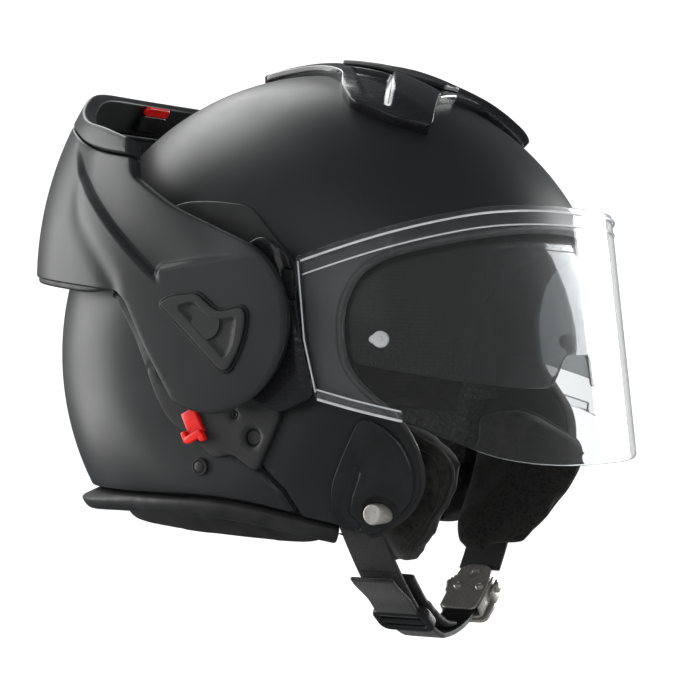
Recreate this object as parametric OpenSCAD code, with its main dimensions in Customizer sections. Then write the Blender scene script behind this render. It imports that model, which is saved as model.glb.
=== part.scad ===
// Flip-over open face motorcycle helmet.
// +X is forwards, +Y is the wearer's left, +Z is up.
// The origin is halfway between the two side pivots, so every swinging part turns about the Y axis.

/* [Shell] */
// Radius of the shell seen from the side
shell_r = 146; // [144:1:147]
// Half width of the shell's full form, before its sides are flattened
shell_half_w = 122; // [120:1:123]
// Wall of the outer shell
shell_wall = 4; // [3:0.5:4]
// Half width over the shell's flat sides
flat_half_w = 113; // [112:0.5:113]

/* [Visor] */
// Distance from the pivots to the clear visor
visor_r = 141; // [140.5:0.5:142]
// Thickness of the clear visor
visor_wall = 2.4; // [2:0.2:2.6]
// Lean of the clear visor, lower edge forwards, in degrees
visor_lean = 6.5; // [6:0.5:7]
// Thickness of the tinted sun visor
sun_wall = 2; // [1.6:0.2:2.2]

/* [Chin bar] */
// Outer radius of the chin bar seen from the side
chin_r = 171.5; // [171.5:0.5:174]
// Wall of the chin bar
chin_wall = 6; // [5:0.5:6]
// Radius of the round side disc of the chin bar
disc_r = 44; // [42:1:45]

/* [Padding] */
// Thickness of the impact liner and the gap outside it
liner_depth = 30; // [28:1:32]
// Thickness of the fabric lining
lining = 6; // [5:1:7]

/* [Strap] */
// Width of the chin strap
strap_w = 24; // [22:1:25]
// Thickness of the chin strap webbing
strap_t = 2.4; // [2:0.2:2.6]
// Drop from the pivots to the lowest point of the strap
strap_drop = 160; // [156:1:162]

/* [Hidden] */
shell_x = -6;
shell_z = -15;
shell_n = 2.3;
side_n = 2.6;
gap = 0.3;
plate_y = [flat_half_w + 0.2, flat_half_w + 4];
bracket_y = [plate_y[1] + 0.4, plate_y[1] + 3.6];
chin_y = [124.4, 131.5];
chin_half_w = 136;
chin_centre = [12, 22];
pivot_pin_r = 6;
running_fit = 0.05;
boss_r = 11;
latch = [72, -91];
latch_r = 5;
socket = [16, -55];
socket_r = 3.7;
strap_x = 50;
strap_half = 96;
strap_rise = 98;
right_fall = 1.6;
left_fall = 2.4;
sun_travel = 14;
lever_at = [-17, -49];
lever_turn = 25;
pin_at = [82, -8];
pin_turn = 34;
pin_r = 2.6;
screw_at = [6, -44];
upper_screw_at = [-30, 30];
plug_at = [-16, -70];
sun_pivot_r = 5;
plate_step_z = 16;
plate_top_y = flat_half_w + 1.5;
head_r = 8;
buckle_y = 44;
buckle_pin_r = 1.5;
tongue_w = 18;
$fn = 64;

// Side outlines are lists of [x, z, softness of the corner]
rim_line = [[-200, -84], [0, -84], [50, -96], [100, -111], [200, -141]];
face_outline = [[230, 62, 1], [140, 52, 20], [72, 31, 16], [61, 8, 14], [63, -19, 12], [73, -33, 10],
                [86, -45, 8], [91.5, -57, 8], [93, -75, 8], [84, -91, 8], [66, -107, 3], [62, -150, 1],
                [230, -150, 1]];
plate_outline = [[-84, 22, 4], [-46, -28, 6], [-33, -49, 8], [-14, -60, 6], [-6, -67, 4], [4, -63, 4],
                 [20, -73, 4], [37, -42, 4], [39, 28, 6], [20, 54, 8], [-24, 56, 8], [-60, 48, 4]];
lens_outline = [[41, 31, 3], [84, 45, 14], [122, 56, 12], [150, 59, 2], [210, 59, 2], [210, -70, 2],
                [150, -70, 8], [130, -65, 10], [107, -53, 10], [92, -46, 8], [52, -36, 3], [46, -10, 10]];
bracket_outline = [[-10, 26, 2], [24, 42, 5], [38, 32, 4], [45.5, -10, 10], [51.5, -35, 3], [34, -43, 4],
                   [-10, -26, 2]];
chin_outline = [[20, 39, 2], [-24, 58, 10], [-49, 74, 4], [-52, 92, 5], [-72, 99, 8], [-90, 103, 10],
                [-104, 111, 10], [-116, 124, 8], [-220, 136, 1], [-220, 28, 1], [-160, 28, 10],
                [-74, 18, 12], [-52, 15, 8], [-38, -12, 8], [-22, -38, 6], [0, 0, 1]];
chin_seam = [[-40, 82], [-68, 86], [-87, 91], [-101, 98], [-128, 108], [-240, 116]];
chin_edge = [[-120, 22.9], [-150, 26.4], [-170, 27.6], [-240, 27.6]];
shutter_outline = [[4, 0], [6, 14], [26, 19], [50, 24], [54, 0]];
latch_outline = [[71, -46, 4], [79, -48, 5], [87, -58, 6], [90, -71, 6], [87, -84, 6], [77, -94, 4],
                 [66, -99.5, 4], [54, -95.5, 4], [54, -78, 6], [62, -62, 8]];
pad_outline = [[37, -47, 3], [66, -43, 8], [92, -53, 10], [110, -66, 10], [112, -84, 10],
               [104, -112, 12], [88, -129, 12], [58, -128, 10], [37, -118, 6]];
pad_forward = 16;
scoop_outline = [[-48, 0], [-40, 13], [0, 22], [26, 30], [44, 44], [66, 54], [78, 50], [70, 26], [64, 0]];
sun_outline = [[30, -16, 4], [58, -18, 8], [96, -26, 10], [126, -32, 6], [240, -32, 1], [240, 62, 1],
               [118, 60, 8], [60, 44, 10], [20, 20, 6], [-14, -4, 6], [-20, -20, 4], [-6, -28, 6]];
cover_outline = [[-27, 16, 3], [-10, 22, 3], [4, 10, 3], [24, 12, 3], [22, -8, 8], [13, -33, 3],
                 [-4, -12, 4]];

function unit(v) = v / norm(v);
function flat(p) = [p[0], p[1]];
function wrap(i, n) = (i + n) % n;

// The point s from b towards a, or just short of halfway there
function towards(a, b, s) = b + min(s, 0.48 * norm(a - b)) * unit(a - b);

// A closed outline whose corners are eased by a curve that starts the corner's softness away from it
function soft(p, n = 5) = [
    for (i = [0:len(p) - 1])
        let (b = flat(p[i]),
             a = towards(flat(p[wrap(i - 1, len(p))]), b, p[i][2]),
             c = towards(flat(p[wrap(i + 1, len(p))]), b, p[i][2]))
        for (k = [0:n])
            let (t = k / n)
            (1 - t) * (1 - t) * a + 2 * t * (1 - t) * b + t * t * c];

// The same closed outline moved outwards by d
function grow(p, d) = [
    for (i = [0:len(p) - 1])
        let (b = flat(p[i]),
             u = unit(b - flat(p[wrap(i - 1, len(p))])),
             v = unit(flat(p[wrap(i + 1, len(p))]) - b),
             m = [u[1] + v[1], -u[0] - v[0]] * d / (1 + u * v))
        [b[0] + m[0], b[1] + m[1], p[i][2]]];

// Points across the width of a rounded body: half width w, cut flat at y = +-cut
function arch(r, w, n, cut, steps = 22) =
    let (end = asin(min(1, cut / w)))
    concat([[0, -cut]],
           [for (i = [0:steps])
               let (s = sin(-end + 2 * end * i / steps))
               [r * pow(1 - pow(abs(s), n), 1 / n), w * s]],
           [[0, cut]]);

// Turns [radius, y] points about the Y axis
module spun(points) rotate([90, 0, 0]) rotate_extrude($fn = 96) polygon(points);

// The shell's own form, moved inwards by d all round
module form(d, cut = 0)
    translate([shell_x, 0, shell_z])
        spun(arch(shell_r - d, shell_half_w - d, shell_n, cut == 0 ? flat_half_w - d : cut));

// The space between two of those forms
module layer(outside, inside) difference() { form(outside); form(inside); }

// An outline in X and Z, standing from y = -far to y = -near
module slab(points, near = -210, far = 210)
    translate([0, -near, 0]) rotate([90, 0, 0]) linear_extrude(far - near) polygon(points);

// A round bar along Y on the wearer's right
module bar(at, r, near, far)
    translate([at[0], -near, at[1]]) rotate([90, 0, 0]) cylinder(r = r, h = far - near);

module both() { children(); mirror([0, 1, 0]) children(); }
module left() mirror([0, 1, 0]) children();

// ---- shell and padding ----

// Everything lower than the rim line moved down by d
module under_rim(d)
    slab(concat([[-200, -300]], [for (p = rim_line) [p[0], p[1] - d]], [[200, -300]]));

module outer_shell() color("#2b2c2e") difference() {
    layer(0, shell_wall);
    under_rim(0);
    slab(soft(face_outline));
    both() bar(latch, latch_r + running_fit, 60, 130);
    vent_slot();
}

// The slot under the top vent, through the scoop and the shell
module vent_slot() translate([40, -12, 100]) cube([14, 24, 60]);

// The space ahead of this line, under the shell, is where the sun visor turns
module sun_space() slab([[-24, -60], [240, -60], [240, 170], [-24, 170]]);

module impact_liner() color("#1c1c1d") difference() {
    union() {
        difference() { form(shell_wall + gap); sun_space(); }
        intersection() { form(10.5); sun_space(); }
    }
    form(liner_depth);
    under_rim(-16);
    slab(soft(grow(face_outline, 5)));
    // It stands back from the eye port at the temples and the cheeks
    slab([[39, -42], [39, 8], [57, 33], [120, 40], [120, -42]]);
    slab([[30, -40], [240, -40], [240, -200], [30, -200]]);
}

module crown_lining() color("#161617") difference() {
    layer(liner_depth + gap, liner_depth + lining);
    slab([[-200, -50], [26, -50], [58, 36], [240, 60], [240, -200], [-200, -200]]);
}

// The pads are set forward of the shell's own form, so ahead of its edge they stand out past it
module cheek_pad() color("#1a1a1b") difference() {
    intersection() {
        translate([pad_forward, 0, 0]) layer(9, 40);
        slab(soft(pad_outline), 46, 130);
    }
    difference() { layer(-30, 9); slab(soft(grow(face_outline, -4))); }
    // Each pad thins towards its front edge, away from the wearer's mouth
    translate([0, 0, -200]) linear_extrude(200)
        polygon([[40, -30], [60, -50], [106, -68], [140, -80], [140, 0], [40, 0]]);
    webbing(-strap_half - 8, -30, 40, strap_w + 2, -18.5);
    left() webbing(30, strap_half + 8, 40, strap_w + 2, -18.5);
}

module neck_roll() color("#1a1a1b") intersection() {
    layer(8.5, 30);
    slab(soft([[-170, -69, 2], [0, -69, 6], [33, -77.5, 3], [33, -111, 8], [-30, -104, 10],
               [-170, -100, 2]]));
}

module rim_trim() color("#202122") difference() {
    union() {
        layer(-1.5, 8);
        intersection() { form(-7); slab([[-200, -200], [-96, -200], [-112, 0], [-200, 0]]); }
    }
    form(8);
    under_rim(9);
    slab(concat([[-200, 300]], [for (p = rim_line) [p[0], p[1] - gap]], [[200, 300]]));
    slab([[60, 0], [240, 0], [240, -200], [60, -200]]);
    webbing(-strap_half, -40, strap_t + 1.4, strap_w + 2);
    webbing(40, strap_half, strap_t + 1.4, strap_w + 2);
}

module face_seal() color("#141415") difference() {
    layer(-1, shell_wall + 1);
    slab(soft(grow(face_outline, -3)));
    difference() { slab([[-220, -220], [240, -220], [240, 200], [-220, 200]]); slab(soft(face_outline)); }
    under_rim(-1);
}

// ---- side plates and the fixed parts of the pivots ----

module side_plate() color("#27282a") {
    difference() {
        intersection() {
            form(-4, plate_y[1]);
            slab(soft(plate_outline), plate_y[0], plate_y[1]);
        }
        // The visor passes over this thinner upper edge when it lifts
        translate([-100, -140, plate_step_z]) cube([200, 140 - plate_top_y, 100]);
        bar(socket, socket_r, 100, 140);
        bar(screw_at, 1.6, 100, 140);
        bar(upper_screw_at, 2, 100, 140);
        bar([0, 0], pivot_pin_r, 100, 140);
        lever_slot();
    }
    difference() {
        bar([0, 0], boss_r, plate_y[1] - 0.01, chin_y[0] - 0.4);
        bar([0, 0], pivot_pin_r, 100, 140);
    }
}

module lever_slot()
    translate([lever_at[0], -100, lever_at[1]]) rotate([90, -lever_turn, 0])
        translate([-4.2, -6.2, 0]) cube([8.4, 12.4 + sun_travel, 40]);

module plate_screws() color("#111111") both() {
    bar(upper_screw_at, 1.9, plate_y[0] + gap, plate_top_y);
    bar(screw_at, 1.5, plate_y[0] + gap, plate_y[1] - 0.6);
}

module side_plugs() color("#232426") both() bar(plug_at, 4, flat_half_w + 0.05, flat_half_w + 1.6);

// ---- chin bar latches ----

module latch_plate() color("#1b1c1d") difference() {
    intersection() {
        layer(-2.8, -0.2);
        slab(soft(latch_outline), 40, 130);
    }
    bar(latch, latch_r + 2, 60, 130);
}

module latch_pins() color("#c8c8c4") both() {
    bar(latch, latch_r, 84, 97);
    bar(latch, 3, 83, 99);
}

// ---- top and rear vents ----

module over_plan(points) linear_extrude(300)
    polygon(concat(points, [for (i = [len(points) - 2:-1:1]) [points[i][0], -points[i][1]]]));

module vent_scoop() color("#1d1e20") difference() {
    intersection() { layer(-6, -0.2); over_plan(scoop_outline); }
    vent_slot();
}

module vent_shutter() color("#232427") intersection() {
    layer(-8.2, -6.2);
    over_plan(shutter_outline);
}

module rear_vent() color("#1d1e20") intersection() {
    layer(-4, -0.2);
    slab(soft([[-220, -30, 1], [-128, -30, 4], [-116, -64, 4], [-220, -64, 1]]), -48, 48);
}

// ---- clear visor ----

function oval(a, b, n, steps = 40) = [
    for (i = [0:steps])
        let (t = -90 + 180 * i / steps, c = cos(t), s = sin(t))
        [a * pow(abs(c), 2 / n), b * sign(s) * pow(abs(s), 2 / n)]];

module lens_form(d) linear_extrude(260, center = true)
    polygon(oval(visor_r - d, 121.4 - d, side_n));

module visor_lens() color([0.9, 0.93, 0.95, 0.35]) difference() {
    intersection() {
        rotate([0, -visor_lean, 0]) difference() { lens_form(0); lens_form(visor_wall); }
        slab(soft(lens_outline));
    }
    both() insert_pin(0.05);
}

// An anti-fog insert pin, square to the lens where it stands
module insert_pin(slack) translate([pin_at[0], -109, pin_at[1]]) rotate([90, 0, pin_turn])
    translate([0, 0, -5.5]) cylinder(r = pin_r + slack, h = 8);

module insert_pins() color("#d8d8d6") both() insert_pin(0);

module visor_bracket() color("#1b1c1e") difference() {
    union() {
        slab(soft(bracket_outline), bracket_y[0], bracket_y[1]);
        bar([0, 0], 28, bracket_y[0], bracket_y[1]);
    }
    bar([0, 0], boss_r + running_fit, 100, 140);
    slab([[34, 12], [46, 10], [46, 24], [36, 26]], bracket_y[1] - 1.6, 140);
    slab([[52, -50], [60, -50], [60, 0], [46, -9]]);
}

module visor_catch() color("#101112")
    slab([[34.4, 12.4], [41, 11.3], [41, 24.6], [36.3, 25.4]], bracket_y[1] - 1.4, bracket_y[1] + 0.4);

// ---- sun visor ----

module sun_visor() color([0.12, 0.13, 0.14, 0.6]) difference() {
    intersection() {
        layer(6.5, 6.5 + sun_wall);
        slab(soft(sun_outline));
    }
    both() bar([shell_x, shell_z], sun_pivot_r + running_fit, 80, 130);
    slab(soft([[100, -50, 1], [100, -30, 2], [112, -18, 6], [240, -16, 1], [240, -50, 1]]), -13, 13);
}

module sun_visor_pivots() color("#2a2a2a") both() {
    bar([shell_x, shell_z], sun_pivot_r, 103.3, flat_half_w - shell_wall - 0.1);
    bar([shell_x, shell_z], sun_pivot_r + 3, 107.2, flat_half_w - shell_wall - 0.1);
}

module sun_visor_lever() color("#d8160f")
    translate([lever_at[0], -plate_y[0] - 0.3, lever_at[1]]) rotate([90, -lever_turn, 0]) {
        translate([-4, -6, 0]) cube([8, 12, 6]);
        translate([-5, -7, 5]) cube([10, 4, 2.4]);
    }

// ---- chin bar ----

// The chin bar's form, moved inwards by d, and by a little more than d at the sides
module chin_form(d) translate([chin_centre[0], 0, chin_centre[1]])
    spun(arch(chin_r - d, chin_half_w - 8 / 6 * d, side_n,
              chin_y[1] - (chin_y[1] - chin_y[0]) / chin_wall * d));

module chin_layer(outside, inside) difference() { chin_form(outside); chin_form(inside); }

module chin_region() {
    slab(soft(chin_outline));
    both() bar([0, 0], disc_r, 60, 140);
}

module above_seam(d) slab(concat([for (p = chin_seam) [p[0], p[1] + d]], [[-240, 300], [-40, 300]]));

module chin_skin() difference() {
    intersection() {
        chin_layer(0, chin_wall);
        chin_region();
    }
    both() bar([0, 0], pivot_pin_r + running_fit, 100, 140);
}

module chin_bar() color("#2b2c2e") difference() { chin_skin(); above_seam(0); }
module chin_bar_trim() color("#2b2c2e") intersection() { chin_skin(); above_seam(gap); }

module chin_bar_lining() color("#151516") intersection() {
    chin_layer(chin_wall + gap, chin_wall + 1.5);
    slab(soft([[-104, 106, 3], [-240, 110, 1], [-240, 60, 1], [-126, 60, 3]]), -44, 44);
}

module chin_bar_seal() color("#121212") intersection() {
    chin_layer(1.5, chin_wall - 0.6);
    slab(concat([[-240, 19], [-120, 19]], chin_edge), -84, 84);
}

module chin_vent_slider() color("#1a1b1c") intersection() {
    chin_layer(-3, -gap);
    slab(soft([[-140, 38, 1], [-240, 38, 1], [-240, 50, 1], [-140, 50, 1]]), -20, 20);
}

module chin_release_button() color("#cf1712") intersection() {
    chin_layer(chin_wall + gap, chin_wall + 2.4);
    slab([[-90, 112], [-240, 112], [-240, 125], [-90, 125]], -12, 12);
}

module pivot_cover() color("#202123") difference() {
    slab(soft(cover_outline), chin_y[1] + 0.1, chin_y[1] + 2.6);
    bar([0, 0], head_r + 0.4, 120, chin_y[1] + 1.6);
}

module pivot_screws() color("#8c8c8a") both() {
    bar([0, 0], pivot_pin_r - 0.02, plate_y[0] + gap, chin_y[1] + 0.2);
    bar([0, 0], head_r, chin_y[1] + 0.1, chin_y[1] + 1.4);
}

// ---- chin strap ----

function hang(y) = [y, -strap_drop + strap_rise * pow(abs(y) / strap_half, y < 0 ? right_fall : left_fall)];
function hang_side(y) = let (d = unit(hang(y + 0.5) - hang(y - 0.5))) [-d[1], d[0]];

// The strap's hanging line from y = a to y = b, t thick, w wide, moved by out across its thickness
module webbing(a, b, t, w, out = 0, steps = 14) {
    ys = [for (i = [0:steps]) a + (b - a) * i / steps];
    translate([strap_x - w / 2, 0, 0]) rotate([90, 0, 90]) linear_extrude(w)
        polygon(concat([for (y = ys) hang(y) + (out + t / 2) * hang_side(y)],
                       [for (i = [steps:-1:0]) hang(ys[i]) + (out - t / 2) * hang_side(ys[i])]));
}

module strap_right() color("#131314") webbing(-strap_half, -4, strap_t, strap_w);
module strap_left() color("#131314") webbing(58, strap_half, strap_t, strap_w);

module strap_anchors() color("#9a9a98") both()
    translate([strap_x - 6, -strap_half - 2, -60]) rotate([90, 0, 0]) cylinder(r = 5, h = 2);

module frame_at(y) translate([strap_x, hang(y)[0], hang(y)[1]])
    rotate([atan2((hang(y + 1) - hang(y - 1))[1], 2), 0, 0]) children();

module strap_adjuster() color("#18191a") frame_at(-26) difference() {
    translate([-16, -9, -4.4]) cube([32, 18, 8.8]);
    translate([-12.6, -30, -2.6]) cube([25.2, 60, 5.2]);
}

module strap_pad() color("#151515") webbing(-47, 8, 4, strap_w + 4, 6.8);

module ratchet_tongue() color("#222324") webbing(-3.8, 40, strap_t, tongue_w);

module buckle_pin(r, length) translate([-length / 2, 9, -0.2]) rotate([0, 90, 0]) cylinder(r = r, h = length);

module ratchet_body() color("#b9b9b4") frame_at(buckle_y) difference() {
    translate([-12, -12, -4]) cube([24, 26, 8]);
    translate([-9.4, -30, -2.8]) cube([18.8, 60, 5.6]);
    buckle_pin(buckle_pin_r + running_fit, 40);
}

module ratchet_pin() color("#d0d0cc") frame_at(buckle_y) buckle_pin(buckle_pin_r, 28.8);

module ratchet_lever() color("#c4c4be") frame_at(buckle_y) difference() {
    union() {
        translate([-14, -10, -6.4]) cube([28, 16, 1.8]);
        for (x = [-14, 12.4]) translate([x, 2, -6.4]) cube([1.6, 10.5, 9.4]);
    }
    buckle_pin(buckle_pin_r + running_fit, 40);
}

outer_shell();
impact_liner();
crown_lining();
cheek_pad();  // cheek_pad_right
left() cheek_pad();  // cheek_pad_left
neck_roll();
rim_trim();
face_seal();
side_plate();  // side_plate_right
left() side_plate();  // side_plate_left
vent_scoop();
vent_shutter();
rear_vent();
latch_plate();  // latch_plate_right
left() latch_plate();  // latch_plate_left
latch_pins();
side_plugs();
plate_screws();
visor_lens();
visor_bracket();  // visor_bracket_right
left() visor_bracket();  // visor_bracket_left
visor_catch();  // visor_catch_right
left() visor_catch();  // visor_catch_left
insert_pins();
sun_visor();
sun_visor_pivots();
sun_visor_lever();
chin_bar();
chin_bar_trim();
chin_bar_lining();
chin_bar_seal();
chin_vent_slider();
chin_release_button();
pivot_cover();  // pivot_cover_right
left() pivot_cover();  // pivot_cover_left
pivot_screws();
strap_right();
strap_left();
strap_anchors();
strap_adjuster();
strap_pad();
ratchet_tongue();
ratchet_body();
ratchet_lever();
ratchet_pin();
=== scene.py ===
import bpy
import bmesh
import math
import numpy as np
from mathutils import Euler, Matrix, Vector
from mathutils.bvhtree import BVHTree
from mathutils.geometry import delaunay_2d_cdt


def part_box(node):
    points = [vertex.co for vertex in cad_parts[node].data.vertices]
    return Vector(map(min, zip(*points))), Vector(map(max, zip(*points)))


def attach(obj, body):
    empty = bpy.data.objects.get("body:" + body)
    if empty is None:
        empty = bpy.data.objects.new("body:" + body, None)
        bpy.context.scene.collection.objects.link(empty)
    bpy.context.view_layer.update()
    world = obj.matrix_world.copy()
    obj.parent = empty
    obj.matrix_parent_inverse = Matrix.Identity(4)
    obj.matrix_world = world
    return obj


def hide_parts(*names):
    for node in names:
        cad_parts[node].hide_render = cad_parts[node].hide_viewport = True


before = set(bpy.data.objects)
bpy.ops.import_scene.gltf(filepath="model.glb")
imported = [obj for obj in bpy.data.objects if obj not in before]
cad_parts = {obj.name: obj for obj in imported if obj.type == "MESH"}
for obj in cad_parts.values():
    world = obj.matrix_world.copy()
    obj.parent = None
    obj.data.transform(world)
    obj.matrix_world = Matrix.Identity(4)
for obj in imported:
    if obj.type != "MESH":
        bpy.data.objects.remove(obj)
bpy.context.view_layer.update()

# Sizes below are in millimetres, in the frame's own axes: +X forwards, +Y the wearer's left, +Z up.
MM = 0.001


def high_mm(node):
    return np.array(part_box(node)[1]) / MM


# ---------------------------------------------------------------- forms

SHELL_AXIS = np.array([-6.0, 0.0, -15.0])
SHELL_N = 2.3
SIDE_N = 2.6
FLAT_Y = high_mm("outer_shell")[1]
SHELL_R = high_mm("outer_shell")[2] - SHELL_AXIS[2]
SHELL_W = FLAT_Y + 9
SHELL_WALL = 4.0
CHIN_Y = 131.5
CHIN_CENTRE = (12.0, 0.0, 22.0)
CHIN_R = 171.5
CHIN_W = 136.0
CHIN_WALL = 6.0
CHIN_W_RATE = 8 / 6
CHIN_CUT_RATE = 7.1 / 6
DISC_R = 44.0
LENS_A = 141.0
LENS_B = 121.4
LENS_WALL = 2.4
LENS_LEAN = math.radians(6.5)
LENS_STEP = 5.0
LENS_STEP_Z = (45.5, 50)
RIM_SOFTNESS = 60
CROWN_WAY = (-0.3, 0, 1)
CHIN_WAY = (-1, 0, 0.55)
FINE_STEP = 0.4
FAN = 60
HALVINGS = 40
TOUCH = 1e-6


def unit(v):
    v = np.asarray(v, float)
    return v / np.maximum(np.linalg.norm(v, axis=-1, keepdims=True), 1e-12)


class Spun:
    """A body turned about an axis along Y: a superellipse across its width, its sides cut flat."""

    def __init__(self, centre, r, w, n, cut, w_rate=1.0, cut_rate=1.0):
        self.centre, self.r, self.w, self.n, self.cut = np.array(centre, float), r, w, n, cut
        self.w_rate, self.cut_rate = w_rate, cut_rate

    def at(self, d, h=0.0):
        """The point in direction d from the centre, raised by h above the form."""
        d = np.atleast_2d(d)
        h = np.broadcast_to(h, len(d))
        rho = np.hypot(d[:, 0], d[:, 2]) / (self.r + h)
        across = np.abs(d[:, 1])
        body = (rho ** self.n + (across / (self.w + self.w_rate * h)) ** self.n) ** (1 / self.n)
        flat = across / (self.cut + self.cut_rate * h)
        g = (body ** RIM_SOFTNESS + flat ** RIM_SOFTNESS) ** (1 / RIM_SOFTNESS)
        return self.centre + d / g[:, None]

    def half_width(self, xz, h=0.0):
        """How far out the form's side is at each X and Z."""
        rho = np.hypot(xz[:, 0] - self.centre[0], xz[:, 1] - self.centre[2]) / (self.r + h)
        body = (self.w + self.w_rate * h) * np.maximum(1 - rho ** self.n, 1e-9) ** (1 / self.n)
        flat = self.cut + self.cut_rate * h
        return (body ** -RIM_SOFTNESS + flat ** -RIM_SOFTNESS) ** (-1 / RIM_SOFTNESS)


SHELL = Spun(SHELL_AXIS, SHELL_R, SHELL_W, SHELL_N, FLAT_Y)
CHIN = Spun(CHIN_CENTRE, CHIN_R, CHIN_W, SIDE_N, CHIN_Y, CHIN_W_RATE, CHIN_CUT_RATE)


class Chart:
    """Lays a form's surface out flat around one direction, keeping distances from its middle."""

    def __init__(self, form, axis):
        self.form = form
        self.e3 = unit(axis)
        self.e1 = unit(np.cross((0, 1, 0), self.e3))
        self.e2 = np.cross(self.e3, self.e1)
        self.scale = form.r

    def flat(self, points):
        d = unit(points - self.form.centre)
        angle = np.arccos(np.clip(d @ self.e3, -1, 1))
        t = np.stack([d @ self.e1, d @ self.e2], 1)
        return unit(t) * (angle * self.scale)[:, None]

    def lift(self, q, h=0.0):
        angle = np.linalg.norm(q, axis=1) / self.scale
        t = unit(q) * np.sin(angle)[:, None]
        d = np.cos(angle)[:, None] * self.e3 + t[:, :1] * self.e1 + t[:, 1:] * self.e2
        return self.form.at(d, h)


class SideChart:
    """The wearer's right side of a form, seen square on: X and Z are kept."""

    def __init__(self, form):
        self.form = form

    def lift(self, q, h=0.0):
        return np.stack([q[:, 0], -self.form.half_width(q, h), q[:, 1]], 1)


class PlaneChart:
    """A flat plate on the wearer's right: heights are measured outwards from y = -base."""

    def __init__(self, base):
        self.base = base

    def lift(self, q, h=0.0):
        y = -(self.base + np.broadcast_to(h, len(q)))
        return np.stack([q[:, 0], y, q[:, 1]], 1)


class LensChart:
    """The clear visor unrolled: distance round from the middle of the face, and height up its lean."""

    def __init__(self, a=LENS_A - LENS_WALL / 2, b=LENS_B - LENS_WALL / 2):
        t = np.linspace(-math.pi / 2, math.pi / 2, 1441)
        self.x = a * np.abs(np.cos(t)) ** (2 / SIDE_N)
        self.y = b * np.sign(np.sin(t)) * np.abs(np.sin(t)) ** (2 / SIDE_N)
        step = np.hypot(np.diff(self.x), np.diff(self.y))
        u = np.concatenate([[0], np.cumsum(step)])
        self.u = u - u[-1] / 2
        n = np.stack([np.gradient(self.y), -np.gradient(self.x)], 1)
        self.n = unit(n)

    def tilt(self, x, z):
        c, s = math.cos(LENS_LEAN), math.sin(LENS_LEAN)
        return x * c - z * s, x * s + z * c

    def untilt(self, x, z):
        c, s = math.cos(LENS_LEAN), math.sin(LENS_LEAN)
        return x * c + z * s, -x * s + z * c

    def lift(self, q, h=0.0):
        h = h - LENS_STEP * ease(q[:, 1], *LENS_STEP_Z)
        nx = np.interp(q[:, 0], self.u, self.n[:, 0])
        ny = np.interp(q[:, 0], self.u, self.n[:, 1])
        x = np.interp(q[:, 0], self.u, self.x) + nx * h
        y = np.interp(q[:, 0], self.u, self.y) + ny * h
        xw, zw = self.tilt(x, q[:, 1])
        return np.stack([xw, y, zw], 1)

    def from_side(self, xz):
        """Unrolled points of an X, Z path on the wearer's right."""
        x, z = self.untilt(xz[:, 0], xz[:, 1])
        half = len(self.u) // 2
        u = np.interp(np.minimum(x, self.x[half]), self.x[:half + 1], self.u[:half + 1])
        return np.stack([u, z], 1)


LENS = LensChart()

# ---------------------------------------------------------------- outlines


CORNER_REACH = 0.48


def soft(points, closed=True, n=7):
    """Eases each corner of an [x, z, softness] outline with a curve."""
    points = [tuple(p) for p in points]
    out = []
    last = len(points) - 1
    for i, p in enumerate(points):
        b = np.array(p[:2], float)
        if not closed and i in (0, last):
            out.append(b)
            continue
        sides = []
        for q in (points[i - 1], points[(i + 1) % len(points)]):
            v = np.array(q[:2], float) - b
            length = np.linalg.norm(v)
            sides.append(b + v / length * min(p[2], CORNER_REACH * length))
        for k in range(n + 1):
            t = k / n
            out.append((1 - t) ** 2 * sides[0] + 2 * t * (1 - t) * b + t * t * sides[1])
    return np.array(out)


def resample(points, step, closed=True):
    """Points evenly spaced along a line, about step apart."""
    points = np.asarray(points, float)
    if closed:
        points = np.vstack([points, points[:1]])
    length = np.concatenate([[0], np.cumsum(np.linalg.norm(np.diff(points, axis=0), axis=1))])
    count = max(4, int(round(length[-1] / step)))
    at = np.linspace(0, length[-1], count + 1)
    if closed:
        at = at[:-1]
    return np.stack([np.interp(at, length, points[:, k]) for k in range(points.shape[1])], 1)


def from_middle(form, xz):
    """Distance of side points from the form's axis."""
    return np.hypot(xz[..., 0] - form.centre[0], xz[..., 1] - form.centre[2])


def fan_out(form, out, into, h=0.0):
    """Points from where a side path crosses the silhouette, close together at first, up to into."""
    near = into
    for _ in range(HALVINGS):
        mid = (out + near) / 2
        if from_middle(form, mid) < form.r + h:
            near = mid
        else:
            out = mid
    return [near + (into - near) * (k / FAN) ** 3 for k in range(FAN)]


def wrap_across(form, path, step, h=0.0):
    """A side path that leaves the form's silhouette at both ends, drawn on the right side, over the
    middle and back along the left side: one closed loop of 3-D points."""
    path = resample(path, FINE_STEP, closed=False)
    within = np.where(from_middle(form, path) < form.r + h - TOUCH)[0]
    first, last = within[0], within[-1]
    fine = fan_out(form, path[first - 1], path[first], h) + list(path[first:last + 1])
    fine = np.array(fine + fan_out(form, path[last + 1], path[last], h)[::-1])
    y = form.half_width(fine, h)
    y[0] = y[-1] = 0
    right = np.stack([fine[:, 0], -y, fine[:, 1]], 1)
    right = resample(right, step, closed=False)
    left = right[::-1] * (1, -1, 1)
    return np.vstack([right, left[1:-1]])


def closed_round(points, times=2):
    for _ in range(times):
        points = (np.roll(points, 1, 0) + 2 * points + np.roll(points, -1, 0)) / 4
    return points


def area(q):
    x, y = q[:, 0], q[:, 1]
    return 0.5 * np.sum(x * np.roll(y, -1) - y * np.roll(x, -1))


def inside(points, loop):
    """Which points are inside a closed loop."""
    x, y = points[:, 0], points[:, 1]
    hit = np.zeros(len(points), bool)
    a, b = loop, np.roll(loop, -1, 0)
    for (x1, y1), (x2, y2) in zip(a, b):
        if y1 == y2:
            continue
        crossing = (y1 > y) != (y2 > y)
        hit ^= crossing & (x < (x2 - x1) * (y - y1) / (y2 - y1) + x1)
    return hit


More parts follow.
